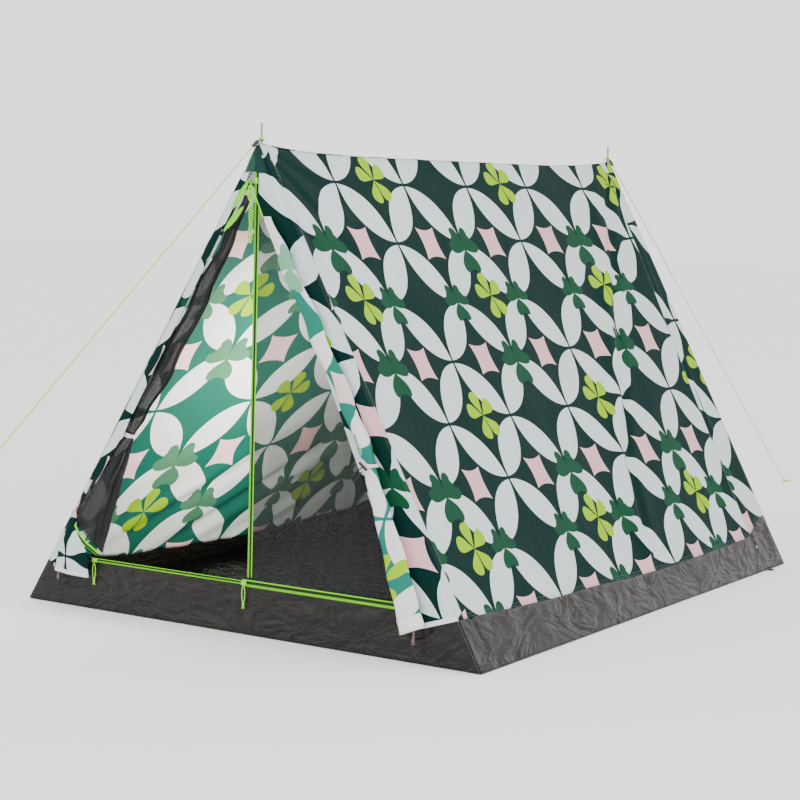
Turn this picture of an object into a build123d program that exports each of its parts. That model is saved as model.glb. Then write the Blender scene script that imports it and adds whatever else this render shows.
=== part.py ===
from build123d import *
import os
from math import cos, hypot, radians, sin

# A two-person A-frame tent, pitched, with its doors open. Millimetres.
# +X is the tent's right-hand side seen from the door, +Y runs from the door to the back, +Z is up.

# ---- Driving dimensions ---------------------------------------------------------------------
APEX_Z = 1300.0  # height of the ridge over each pair of poles
HALF_WIDTH = 750.0  # from the middle to the foot of a side wall
FRONT_BASE_Y = -1016.4  # foot of the front wall
FRONT_LEAN = 55.0  # the front apex stands this far behind the front foot
RIDGE = 2010.0  # from the front apex to the back apex
REAR_FOOT = 1800.0  # from the front foot to the feet of the back poles
FLOOR_LENGTH = 1940.0  # from the front foot to the back edge of the floor

FABRIC = 2.0  # thickness that stands for a coated cloth
SIDE_TUB = 120.0  # height of the floor's upturned edge at the sides
REAR_TUB = 150.0
SILL = 127.0
GAP = 0.3  # air left between neighbours

POLE_R = 6.5
POLE_BORE = 5.5
FERRULE_R = 5.4
FERRULE_BORE = 4.0
FERRULE_HALF = 40.0
SHOCK_R = 1.5
SLEEVE_R = 8.6
SLEEVE_BORE = 7.6
POLE_INSET = 13.0  # from the outer face of a wall to the axis of the pole behind it
FOOT_Z = 4.0
ARM_Z = 1105.0  # lower end of the apex elbow's arms
BEND_R = 30.0
SPIKE_R = 3.0
SPIKE_TOP = 1345.0
TAB_Z = 1300.6

MESH_BOTTOM = 150.0
ZIP_TOP = 1225.0
ZIP_TOP_X = -2.0  # the free edge of the right mesh door, top and bottom
ZIP_BOTTOM_X = 26.0
TAPE_HALF = 7.0
SILL_ZIP_Z = 137.0
DOOR_DEPTH = 4.0  # the mesh door lies this far behind the front plane
HINGE_INSET = 32.0
MESH_TIE_X = -416.0
MESH_TIE_Z = 492.0

GUY_R = 1.25
GUY_RUN = 1710.0  # on the ground, from under an apex to where its guy line comes down
RUNNER_HALF = 13.0

REAR_APEX_Y = FRONT_BASE_Y + FRONT_LEAN + RIDGE
FRONT_APEX_Y = FRONT_BASE_Y + FRONT_LEAN
REAR_FOOT_Y = FRONT_BASE_Y + REAR_FOOT
REAR_BASE_Y = FRONT_BASE_Y + FLOOR_LENGTH
SLOPE = hypot(APEX_Z, HALF_WIDTH)
ACROSS = SLOPE / APEX_Z  # horizontal width of a unit of thickness in a side wall

UP = Vector(0, 0, 1)
RIGHT = Vector(1, 0, 0)
BACK = Vector(0, 1, 0)


# ---- Where things are -----------------------------------------------------------------------
def side_x(z):
    """Outer face of a side wall at a height."""
    return HALF_WIDTH * (1 - z / APEX_Z)


def inner_x(z, gap=GAP):
    """Inner face of a side wall at a height, less some air."""
    return side_x(z) - (FABRIC + gap) * ACROSS


def front_y(z):
    return FRONT_BASE_Y + FRONT_LEAN * z / APEX_Z


def rear_y(z):
    return REAR_BASE_Y + (REAR_APEX_Y - REAR_BASE_Y) * z / APEX_Z


def zip_x(z):
    """Free edge of the right mesh door at a height."""
    along = (z - MESH_BOTTOM) / (ZIP_TOP - MESH_BOTTOM)
    return ZIP_BOTTOM_X + (ZIP_TOP_X - ZIP_BOTTOM_X) * along


def pole_point(side, rear, z):
    """A point at a height on the axis of a leg, side -1 or 1."""
    x = side_x(z) - POLE_INSET * ACROSS
    front = front_y(z) + POLE_INSET
    back = REAR_FOOT_Y + (REAR_APEX_Y - POLE_INSET - REAR_FOOT_Y) * z / APEX_Z
    return Vector(side * x, back if rear else front, z)


# ---- Shapes that come back ------------------------------------------------------------------
def rod(start, end, radius):
    axis = Vector(*end) - Vector(*start)
    return Solid.make_cylinder(radius, axis.length, Plane(origin=start, z_dir=axis))


def tube(start, end, radius, bore):
    return rod(start, end, radius) - rod(start, end, bore)


def box(low, high):
    size = [b - a for a, b in zip(low, high)]
    middle = [(a + b) / 2 for a, b in zip(low, high)]
    return Pos(*middle) * Box(*size)


def plate(points, amount, direction):
    face = make_face(Polyline(*points, close=True))
    return extrude(face, amount=amount, dir=direction)


def side_plate(outline, side):
    """Cloth in the plane of a side wall, from the (y, z) corners of its outer face."""
    points = [(side * side_x(z), y, z) for y, z in outline]
    inward = Vector(-side * APEX_Z, 0, -HALF_WIDTH).normalized()
    return plate(points, FABRIC, inward)


def front_plate(outline, depth, thickness):
    """Cloth parallel to the front plane and depth behind it, from (x, z) corners."""
    points = [(x, front_y(z) + depth, z) for x, z in outline]
    return plate(points, thickness, BACK)


def stack(sections):
    """A soft roll through level ellipses, each (x, y, z, half width, half depth)."""
    rings = [Pos(x, y, z) * Ellipse(wide, deep) for x, y, z, wide, deep in sections]
    return loft(rings, ruled=True)


def mirrored(outline):
    return [(-x, z) for x, z in outline]


def save(name, shape):
    export_step(shape, f"parts/{name}.step")


# ---- Poles ----------------------------------------------------------------------------------
def apex_elbow(rear):
    """The bent tube that joins two legs, drilled for the spike."""
    ends = [pole_point(side, rear, ARM_Z) for side in (1, -1)]
    meet_z = APEX_Z * (1 - POLE_INSET * ACROSS / HALF_WIDTH)
    path = FilletPolyline(ends[0], pole_point(1, rear, meet_z), ends[1], radius=BEND_R)
    start = Plane(origin=path @ 0, z_dir=path % 0)
    wall = sweep(start * Circle(POLE_R), path) - sweep(start * Circle(POLE_BORE), path)
    drill = spike_rod(rear, SPIKE_R + 0.05, meet_z - 80.0, APEX_Z)
    return wall - drill


def spike_rod(rear, radius, low, high):
    y = pole_point(1, rear, APEX_Z).Y
    return rod((0, y, low), (0, y, high), radius)


def spike(rear):
    pin = spike_rod(rear, SPIKE_R, 1239.0, SPIKE_TOP)
    shoulder = spike_rod(rear, 5.0, 1290.0, 1292.0)
    y = pole_point(1, rear, APEX_Z).Y
    cap = Pos(0, y, SPIKE_TOP) * Sphere(SPIKE_R)
    return pin + shoulder + cap


def foot_cap(side, rear):
    """The rubber foot, cut flat where it stands on the floor cloth."""
    low = pole_point(side, rear, -20.0)
    high = pole_point(side, rear, FOOT_Z + 26.0)
    inside = rod(pole_point(side, rear, FOOT_Z + 8.0), high, POLE_R + 0.1)
    foot = rod(low, high, 9.0) - inside
    keep = Pos(0, 0, 500 + FABRIC + GAP) * Box(4000, 4000, 1000)
    return foot & keep


def make_frame(rear, ferrules, cords):
    """One pair of legs; its ferrules and shock cords are added to the shared lists."""
    end = "rear" if rear else "front"
    split_z = (FOOT_Z + 10 + ARM_Z) / 2
    for side, hand in ((-1, "left"), (1, "right")):
        foot = pole_point(side, rear, FOOT_Z + 9.0)
        split = pole_point(side, rear, split_z)
        top = pole_point(side, rear, ARM_Z)
        axis = (top - foot).normalized()
        save(f"{end}_{hand}_lower_pole", tube(foot, split - axis * 0.2, POLE_R, POLE_BORE))
        save(f"{end}_{hand}_upper_pole", tube(split + axis * 0.2, top - axis * GAP, POLE_R, POLE_BORE))
        for joint in (split, top):
            low = joint - axis * FERRULE_HALF
            high = joint + axis * FERRULE_HALF
            ferrules.append(tube(low, high, FERRULE_R, FERRULE_BORE))
        cords.append(rod(foot + axis * 2, top + axis * 60, SHOCK_R))
        sleeve_low = pole_point(side, rear, 60.0)
        sleeve_high = pole_point(side, rear, 1185.0)
        save(f"{end}_{hand}_pole_sleeve", tube(sleeve_low, sleeve_high, SLEEVE_R, SLEEVE_BORE))
    save(f"{end}_apex_elbow", apex_elbow(rear))
    save(f"{end}_apex_spike", spike(rear))


# ---- Cloth shell ----------------------------------------------------------------------------
def side_wall(side):
    """From the floor's upturned edge to the ridge, notched round the two spikes."""
    top_z = APEX_Z * (1 - FABRIC / HALF_WIDTH)
    low_z = SIDE_TUB + 0.2
    outline = [
        (front_y(low_z), low_z),
        (rear_y(low_z), low_z),
        (rear_y(top_z), top_z),
        (front_y(top_z), top_z),
    ]
    wall = side_plate(outline, side)
    for rear in (False, True):
        wall = wall - spike_rod(rear, SPIKE_R + 3.0, 1200.0, SPIKE_TOP)
    return wall


def make_walls():
    for side, hand in ((-1, "left"), (1, "right")):
        save(f"{hand}_wall", side_wall(side))
    low_z = REAR_TUB + 0.2
    top_z = 1286.0
    low_x = inner_x(low_z)
    top_x = inner_x(top_z)
    outline = [(-low_x, low_z), (low_x, low_z), (top_x, top_z), (-top_x, top_z)]
    points = [(x, rear_y(z), z) for x, z in outline]
    save("rear_wall", plate(points, FABRIC, -BACK))


def band():
    """The fixed strip on the doorway's right, with its hem hanging over the sill."""
    top = 1262.0
    outline = [(650.0, 126.0), (571.0, 84.0), (60.0, 1160.0), (12.0, top), (side_x(top), top), (676.0, 126.0)]
    return front_plate(outline, -3.5, FABRIC)


def left_band():
    """The narrower strip on the left, drawn in over the gathered mesh."""
    top = 1262.0
    outline = [(676.0, 126.0), (656.0, 100.0), (560.0, 250.0), (30.0, 1200.0), (12.0, top), (side_x(top), top)]
    return front_plate(mirrored(outline), -3.5, FABRIC)


def hood():
    """The small flap that covers the top of the zips."""
    outline = [(-46.0, 1214.0), (46.0, 1214.0), (6.0, 1288.0), (-6.0, 1288.0)]
    return front_plate(outline, -6.0, 1.6)


def make_tub():
    floor_x = inner_x(FABRIC)
    low = (-floor_x, front_y(0) + FABRIC + GAP, 0)
    high = (floor_x, rear_y(0) - FABRIC - GAP, FABRIC)
    save("groundsheet_floor", box(low, high))
    bottom = FABRIC * HALF_WIDTH / SLOPE
    for side, hand in ((-1, "left"), (1, "right")):
        outline = [
            (front_y(bottom), bottom),
            (rear_y(bottom), bottom),
            (rear_y(SIDE_TUB), SIDE_TUB),
            (front_y(SIDE_TUB), SIDE_TUB),
        ]
        save(f"{hand}_tub_wall", side_plate(outline, side))
    sill = [(-inner_x(0), 0), (inner_x(0), 0), (inner_x(SILL), SILL), (-inner_x(SILL), SILL)]
    save("front_sill", front_plate(sill, 0, FABRIC))
    rear = [(-inner_x(0), 0), (inner_x(0), 0), (inner_x(REAR_TUB), REAR_TUB), (-inner_x(REAR_TUB), REAR_TUB)]
    save("rear_tub_wall", plate([(x, rear_y(z), z) for x, z in rear], FABRIC, -BACK))


# ---- Doors ----------------------------------------------------------------------------------
def door_roll():
    """The right outer door, half rolled, tied once and hanging over the sill."""
    return stack(
        [
            (557, front_y(74) - 20, 74, 44, 15),
            (500, front_y(230) - 20, 230, 36, 16),
            (410, front_y(470) - 20, 470, 26, 15),
            (400, front_y(500) - 20, 500, 24, 14),
            (378, front_y(550) - 20, 550, 27, 14),
            (215, front_y(816) - 19, 816, 26, 14),
            (60, front_y(1110) - 14, 1110, 12, 8),
        ]
    )


def left_door_gather():
    """The left outer door, drawn in along the pole with its hem below the tie."""
    return stack(
        [
            (-592, front_y(96) - 15, 96, 50, 10),
            (-598, front_y(215) - 15, 215, 38, 10),
            (-585, front_y(262) - 13, 262, 14, 8),
            (-478, front_y(460) - 11, 460, 9, 6),
        ]
    )


def mesh_gather():
    """The left half of the mesh door, gathered to the left pole."""
    return stack(
        [
            (-505, front_y(152) + 20, 152, 60, 12),
            (-508, front_y(240) + 20, 240, 46, 13),
            (MESH_TIE_X, front_y(MESH_TIE_Z) + 20, MESH_TIE_Z - 8, 17, 11),
            (MESH_TIE_X, front_y(MESH_TIE_Z) + 20, MESH_TIE_Z + 8, 17, 11),
            (-178, front_y(890) + 18, 890, 22, 11),
            (-40, front_y(1150) + 14, 1150, 12, 6),
        ]
    )


def hinge_x(z):
    return side_x(z) - HINGE_INSET


def mesh_door():
    """The closed right half of the mesh door."""
    low = MESH_BOTTOM
    high = ZIP_TOP - 25.0
    outline = [
        (zip_x(low) + TAPE_HALF + 0.2, low),
        (hinge_x(low), low),
        (hinge_x(high), high),
        (zip_x(high) + TAPE_HALF + 0.2, high),
    ]
    return front_plate(outline, DOOR_DEPTH, 1.2)


def centre_zip():
    """The zip tape on the free edge of the right mesh door."""
    low = MESH_BOTTOM + 2
    high = ZIP_TOP
    outline = [
        (zip_x(low) - TAPE_HALF, low),
        (zip_x(low) + TAPE_HALF, low),
        (zip_x(high) + TAPE_HALF, high),
        (zip_x(high) - TAPE_HALF, high),
    ]
    return front_plate(outline, DOOR_DEPTH - 0.6, FABRIC)


def sill_zip(start, end):
    outline = [(start, 128.0), (end, 128.0), (end, 146.0), (start, 146.0)]
    return front_plate(outline, -1.3, 1.1)


def rounded_block(centre, wide, deep, tall):
    block = Pos(*centre) * Box(wide, deep, tall)
    return fillet(block.edges(), 0.9)


def pull(pivot, length, radius, knot):
    """A cord pull that hangs from its pivot and ends in a knot."""
    eye = Pos(*pivot) * Sphere(radius + 0.8)
    cord = rod(pivot, pivot - UP * length, radius)
    return eye + cord + Pos(*(pivot - UP * length)) * Sphere(knot)


SILL_SLIDERS = {"left": -505.0, "right": 15.0}
CENTRE_SLIDER_Z = 1196.0


def sill_slider(x):
    return rounded_block((x, front_y(SILL_ZIP_Z) - 5.2, SILL_ZIP_Z), 16, 6, 11)


def sill_pull(x):
    return pull(Vector(x, front_y(SILL_ZIP_Z) - 7.5, 128.4), 58.0, 1.6, 3.6)


def centre_slider():
    """A slider in front of the tape, with a bridge that carries its pull."""
    z = CENTRE_SLIDER_Z
    x = zip_x(z)
    body = rounded_block((x, front_y(z) - 0.1, z), 11, 6, 16)
    bridge = box((x - 1.5, front_y(z) - 21, z - 6), (x + 1.5, front_y(z) - 2, z - 3))
    return body + bridge


def centre_pull():
    z = CENTRE_SLIDER_Z - 10.2
    return pull(Vector(zip_x(z), front_y(z) - 19.5, z), 150.0, 2.6, 4.2)


def make_doors():
    save("right_door_roll", door_roll())
    save("left_door_gather", left_door_gather())
    save("left_mesh_gather", mesh_gather())
    save("right_mesh_door", mesh_door())
    save("centre_zip_tape", centre_zip())
    save("left_sill_zip_tape", sill_zip(-520.0, 5.0))
    save("right_sill_zip_tape", sill_zip(5.3, 610.0))
    for hand, x in SILL_SLIDERS.items():
        save(f"{hand}_sill_zip_slider", sill_slider(x))
        save(f"{hand}_sill_zip_pull", sill_pull(x))
    save("centre_zip_slider", centre_slider())
    save("centre_zip_pull", centre_pull())


# ---- Ties and hooks -------------------------------------------------------------------------
def ring_band(x, y, z, wide, deep, thickness, tall):
    """A strap round a gathered door."""
    outer = Ellipse(wide + thickness, deep + thickness)
    inner = Ellipse(wide, deep)
    return Pos(x, y, z) * extrude(outer - inner, amount=tall / 2, both=True)


def toggle():
    """A short bar, domed at both ends, that lies across the tie's loop."""
    centre = Vector(400, front_y(486) - 42.0, 486)
    along = Vector(cos(radians(38)), 0, -sin(radians(38)))
    low = centre - along * 12
    high = centre + along * 12
    return rod(low, high, 3.4) + Pos(*low) * Sphere(3.4) + Pos(*high) * Sphere(3.4)


def strap(x, y, low, high, wide, deep):
    return box((x - wide / 2, y - deep / 2, low), (x + wide / 2, y + deep / 2, high))


def hook(x, y, top):
    """A moulded hook that hangs from an elastic."""
    bar = box((x - 6, y - 1.6, top - 9), (x + 6, y + 1.6, top - 5))
    path = FilletPolyline(
        (x, y, top - 8), (x, y, top - 30), (x + 10, y, top - 30), (x + 10, y, top - 18), radius=4.5
    )
    bend = sweep(Plane(origin=path @ 0, z_dir=path % 0) * Circle(1.8), path)
    return bar + bend


HOOKS = {"right": (560.0, -20.0, 58.0), "left": (-628.0, -15.0, 78.0)}


def make_ties():
    save("right_door_tie", ring_band(405, front_y(486) - 20, 486, 26.5, 16.5, 1.5, 8))
    save("right_door_toggle", toggle())
    save("left_mesh_tie", ring_band(MESH_TIE_X, front_y(MESH_TIE_Z) + 20, MESH_TIE_Z, 17.4, 11.4, 1.2, 14))
    elastics = []
    for hand, (x, depth, top) in HOOKS.items():
        y = front_y(top) + depth
        roll_bottom = 74.0 if hand == "right" else 96.0
        elastics.append(strap(x, y, top, roll_bottom - GAP, 9, 1.5))
        save(f"{hand}_door_hook", hook(x, y, top - 0.4))
    save("door_elastics", Compound(elastics))


# ---- Guy lines ------------------------------------------------------------------------------
def guy_ends(rear):
    """Where a guy line leaves the knot on its spike, and where it comes down."""
    y = pole_point(1, rear, APEX_Z).Y
    away = 1 if rear else -1
    knot = Vector(0, y + away * (SPIKE_R + 4.4), 1307.0)
    apex = REAR_APEX_Y if rear else FRONT_APEX_Y
    ground = Vector(0, apex + away * GUY_RUN, 3.0)
    return knot, ground


def guy_runner(rear):
    """A flat line tightener with its bore along the guy line."""
    knot, ground = guy_ends(rear)
    along = (ground - knot).normalized()
    centre = knot + along * (RUNNER_HALF + 12)
    plane = Plane(origin=centre, x_dir=RIGHT, z_dir=along)
    body = plane * Box(9, 6.4, 2 * RUNNER_HALF)
    return fillet(body.edges(), 1.2) - rod(centre - along * 20, centre + along * 20, 2.0)


def guy_knot(rear):
    """Turns of line round the spike above the tab."""
    y = pole_point(1, rear, APEX_Z).Y
    turns = [Pos(0, y, z) * Torus(SPIKE_R + 1.9, 1.6) for z in (1304.6, 1307.9)]
    return Compound(turns)


def guy_loop(rear):
    """The knotted loop that lies on the ground where the line comes down."""
    ground = guy_ends(rear)[1]
    away = 1 if rear else -1
    ring = Pos(0, ground.Y + away * 24.0, GUY_R) * Torus(16.0, GUY_R)
    knot = Pos(0, ground.Y + away * 4.2, 3.4) * Sphere(3.4)
    return Compound([knot, ring])


def apex_tab(rear):
    """Webbing with an eyelet that hangs the ridge on the spike."""
    y = pole_point(1, rear, APEX_Z).Y
    tab = Pos(0, y, TAB_Z) * Box(22, 17, 1.6)
    return tab - spike_rod(rear, SPIKE_R + 0.2, TAB_Z - 10, TAB_Z + 10)


def make_guys(rear):
    end = "rear" if rear else "front"
    knot, ground = guy_ends(rear)
    save(f"{end}_guy_line", rod(knot, ground, GUY_R))
    save(f"{end}_guy_runner", guy_runner(rear))
    save(f"{end}_guy_knot", guy_knot(rear))
    save(f"{end}_guy_loop", guy_loop(rear))


def peg_loop(side):
    """A loop of cord for a ground peg, at the foot of a back pole."""
    return Pos(side * (side_x(0) + 10.0), REAR_FOOT_Y, 1.8) * Torus(8.0, 1.6)


os.makedirs("parts", exist_ok=True)
ENDS = (False, True)
SIDES = (-1, 1)
all_ferrules = []
all_cords = []
for is_rear in ENDS:
    make_frame(is_rear, all_ferrules, all_cords)
    make_guys(is_rear)
save("pole_ferrules", Compound(all_ferrules))
save("shock_cords", Compound(all_cords))
save("foot_caps", Compound([foot_cap(side, rear) for side in SIDES for rear in ENDS]))
save("apex_tabs", Compound([apex_tab(rear) for rear in ENDS]))
make_walls()
save("right_front_band", band())
save("left_front_band", left_band())
save("front_hood", hood())
make_tub()
make_doors()
make_ties()
save("rear_peg_loops", Compound([peg_loop(side) for side in SIDES]))
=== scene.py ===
import math
from functools import partialmethod

import bpy
from mathutils import Matrix, Vector, noise


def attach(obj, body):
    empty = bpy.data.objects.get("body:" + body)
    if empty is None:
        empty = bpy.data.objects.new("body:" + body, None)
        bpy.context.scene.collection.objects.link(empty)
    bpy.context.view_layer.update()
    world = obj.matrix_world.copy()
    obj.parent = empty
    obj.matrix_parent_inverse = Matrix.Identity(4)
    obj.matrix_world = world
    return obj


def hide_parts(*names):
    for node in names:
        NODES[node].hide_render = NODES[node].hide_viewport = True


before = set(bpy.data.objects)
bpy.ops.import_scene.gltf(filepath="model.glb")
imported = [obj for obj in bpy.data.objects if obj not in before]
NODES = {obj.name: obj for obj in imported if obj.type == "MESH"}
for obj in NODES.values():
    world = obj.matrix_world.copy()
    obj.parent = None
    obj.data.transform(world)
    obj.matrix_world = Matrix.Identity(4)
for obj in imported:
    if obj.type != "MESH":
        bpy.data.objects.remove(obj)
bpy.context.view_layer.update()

# ---- The tent's driving dimensions, in metres, as in the CAD --------------------------------
APEX_Z = 1.300
HALF_WIDTH = 0.750
FRONT_BASE_Y = -1.0164
FRONT_LEAN = 0.055
RIDGE = 2.010
REAR_FOOT = 1.800
FLOOR_LENGTH = 1.940
REAR_TUB = 0.150
SILL = 0.127
POLE_INSET = 0.013
FRONT_APEX_Y = FRONT_BASE_Y + FRONT_LEAN
REAR_APEX_Y = FRONT_APEX_Y + RIDGE
REAR_BASE_Y = FRONT_BASE_Y + FLOOR_LENGTH
SLOPE = math.hypot(APEX_Z, HALF_WIDTH)
ALONG_SLOPE = SLOPE / APEX_Z  # length down a side wall for each unit of height

CLOTH = 0.0006  # thickness of a coated cloth
RIDGE_SAG = 0.024
WALL_BOW = 0.022  # how far a long wall hangs in at its middle

# The print: a lattice of nodes, with a petal between each two neighbours.
PRINT_U = 0.345
PRINT_V = 0.115
PRINT_WIDE = 0.350
PRINT_TALL = 0.367


# ---- Small helpers --------------------------------------------------------------------------
def lerp(a, b, t):
    return a + (b - a) * t


def smooth(t):
    t = min(max(t, 0.0), 1.0)
    return t * t * (3 - 2 * t)


def bump(distance, width):
    return math.exp(-((distance / width) ** 2))


def along(points, t):
    """The point a share t of the way along evenly spaced points."""
    place = t * (len(points) - 1)
    i = min(int(place), len(points) - 2)
    f = place - i
    return [lerp(a, b, f) for a, b in zip(points[i], points[i + 1])]


def at(table, key):
    """Smooth reading of a table of (key, value) pairs, keys rising."""
    if key <= table[0][0]:
        return table[0][1]
    for (k0, v0), (k1, v1) in zip(table, table[1:]):
        if key <= k1:
            return lerp(v0, v1, smooth((key - k0) / (k1 - k0)))
    return table[-1][1]


def side_x(z):
    return HALF_WIDTH * (1 - z / APEX_Z)


def front_y(z):
    return FRONT_BASE_Y + FRONT_LEAN * z / APEX_Z


def rear_y(z):
    return REAR_BASE_Y + (REAR_APEX_Y - REAR_BASE_Y) * z / APEX_Z


def rear_pole_y(z):
    foot = FRONT_BASE_Y + REAR_FOOT
    return lerp(foot, REAR_APEX_Y - POLE_INSET, z / APEX_Z)


def zip_x(z):
    return lerp(0.026, -0.002, (z - 0.150) / 1.075)


def wave(x, y, seed=0.0):
    return noise.noise(Vector((x, y, seed)))


# ---- Materials ------------------------------------------------------------------------------
def srgb(r, g, b):
    """A colour's 0-255 screen values as linear light."""
    return tuple(((c / 255 + 0.055) / 1.055) ** 2.4 if c > 10 else c / 3294 for c in (r, g, b))


class Num:
    """A number that varies over a surface. Arithmetic on it adds Math nodes."""

    def __init__(self, tree, socket):
        self.tree = tree
        self.socket = socket

    def op(self, kind, *others):
        node = self.tree.nodes.new("ShaderNodeMath")
        node.operation = kind
        for slot, value in zip(node.inputs, (self, *others)):
            if isinstance(value, Num):
                self.tree.links.new(value.socket, slot)
            else:
                slot.default_value = value
        return Num(self.tree, node.outputs[0])

    def __neg__(self):
        return self * -1.0

    def round(self):
        return (self + 0.5).floor()

    def equals(self, value):
        return abs(self - value) < 0.25


MATH_NODES = {
    "__add__": "ADD",
    "__sub__": "SUBTRACT",
    "__mul__": "MULTIPLY",
    "__truediv__": "DIVIDE",
    "__abs__": "ABSOLUTE",
    "__lt__": "LESS_THAN",
    "__gt__": "GREATER_THAN",
    "floor": "FLOOR",
    "mod": "FLOORED_MODULO",
    "power": "POWER",
    "root": "SQRT",
    "sine": "SINE",
    "arctan2": "ARCTAN2",
    "lowest": "MINIMUM",
    "highest": "MAXIMUM",
}
for method, kind in MATH_NODES.items():
    setattr(Num, method, partialmethod(Num.op, kind))


class Material:
    """A Principled material whose patterns are worked out from Num values."""

    def __init__(self, name, colour, roughness=0.6, **sockets):
        self.material = bpy.data.materials.new(name)
        self.material.use_nodes = True
        self.tree = self.material.node_tree
        self.shader = self.tree.nodes["Principled BSDF"]
        self.shader.inputs["Base Color"].default_value = (*colour, 1)
        self.shader.inputs["Roughness"].default_value = roughness
        for socket, value in sockets.items():
            self.shader.inputs[socket.replace("_", " ")].default_value = value
        self.colour = colour
        self.heights = None

    def uv(self):
        node = self.tree.nodes.new("ShaderNodeUVMap")
        node.uv_map = "cloth"
        split = self.tree.nodes.new("ShaderNodeSeparateXYZ")
        self.tree.links.new(node.outputs["UV"], split.inputs[0])
        return Num(self.tree, split.outputs[0]), Num(self.tree, split.outputs[1])

    def noise(self, scale, detail=3.0, stretch=(1, 1, 1), rough=0.55, distortion=0.0):
        """A noise from 0 to 1 over the object's own space, scale features to the metre."""
        place = self.tree.nodes.new("ShaderNodeTexCoord")
        mapping = self.tree.nodes.new("ShaderNodeMapping")
        mapping.inputs["Scale"].default_value = stretch
        self.tree.links.new(place.outputs["Object"], mapping.inputs["Vector"])
        node = self.tree.nodes.new("ShaderNodeTexNoise")
        node.inputs["Scale"].default_value = scale
        node.inputs["Detail"].default_value = detail
        node.inputs["Roughness"].default_value = rough
        node.inputs["Distortion"].default_value = distortion
        self.tree.links.new(mapping.outputs[0], node.inputs["Vector"])
        return Num(self.tree, node.outputs["Fac"])

    def put(self, colour, slot):
        """Gives a socket a fixed colour, or the output of a node."""
        if isinstance(colour, tuple):
            slot.default_value = (*colour, 1)
        else:
            self.tree.links.new(colour, slot)

    def mix(self, colour, blend_type="MIX"):
        """Mixes a colour over what is painted, and returns the node."""
        node = self.tree.nodes.new("ShaderNodeMix")
        node.data_type = "RGBA"
        node.blend_type = blend_type
        self.put(self.colour, node.inputs[6])
        self.put(colour, node.inputs[7])
        self.colour = node.outputs[2]
        return node

    def paint(self, factor, colour):
        node = self.mix(colour)
        self.tree.links.new(factor.socket, node.inputs[0])

    def shade(self, factor, amount):
        """Darkens or lightens what is painted by factor times amount."""
        grey = self.tree.nodes.new("ShaderNodeCombineColor")
        value = (factor - 0.5) * amount + 1.0
        for slot in grey.inputs[:3]:
            self.tree.links.new(value.socket, slot)
        node = self.mix(grey.outputs[0], "MULTIPLY")
        node.inputs[0].default_value = 1.0

    def raise_by(self, value, depth):
        """Adds value times depth, in metres, to the surface relief."""
        height = value * depth
        self.heights = height if self.heights is None else self.heights + height

    def drive(self, socket, value):
        self.tree.links.new(value.socket, self.shader.inputs[socket])

    def done(self, translucent=0.0):
        if not isinstance(self.colour, tuple):
            self.tree.links.new(self.colour, self.shader.inputs["Base Color"])
        if self.heights is not None:
            node = self.tree.nodes.new("ShaderNodeBump")
            node.inputs["Strength"].default_value = 1.0
            node.inputs["Distance"].default_value = 1.0
            self.tree.links.new(self.heights.socket, node.inputs["Height"])
            self.tree.links.new(node.outputs[0], self.shader.inputs["Normal"])
        if translucent:
            thin = self.tree.nodes.new("ShaderNodeBsdfTranslucent")
            self.put(self.colour, thin.inputs["Color"])
            blend = self.tree.nodes.new("ShaderNodeMixShader")
            blend.inputs[0].default_value = translucent
            self.tree.links.new(self.shader.outputs[0], blend.inputs[1])
            self.tree.links.new(thin.outputs[0], blend.inputs[2])
            output = self.tree.nodes["Material Output"]
            self.tree.links.new(blend.outputs[0], output.inputs["Surface"])
        return self.material


CLOVER_SMALL = 0.8
CLOVER_LOW = (0.022, 0.003)  # how far a big and a small clover hang below their nodes
LOBE_REACH = 0.079
LOBE_ANGLE = 0.46
LOBE_HALF_WIDTH = 0.48
NOTCH_REACH = 0.064
HEART_TILT = math.radians(35)
FLOWER_AT = (0.028, 0.012)
FLOWER_PETALS = (99, 31, -51, -109, 162)
FLOWER_LENGTH = 0.075
FLOWER_FULLNESS = 0.070
CIRCLE = 0.690  # radius of the lattice's circles, where a lattice step is 1
CUP = 0.55


def heart(angle):
    """How far a heart reaches from its point, at an angle from its middle."""
    off = (angle - LOBE_ANGLE) / LOBE_HALF_WIDTH
    lobe = (-(off * off) + 1.0).highest(0.0).root() * LOBE_REACH
    return lobe.highest((angle < LOBE_ANGLE) * NOTCH_REACH)


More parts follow.
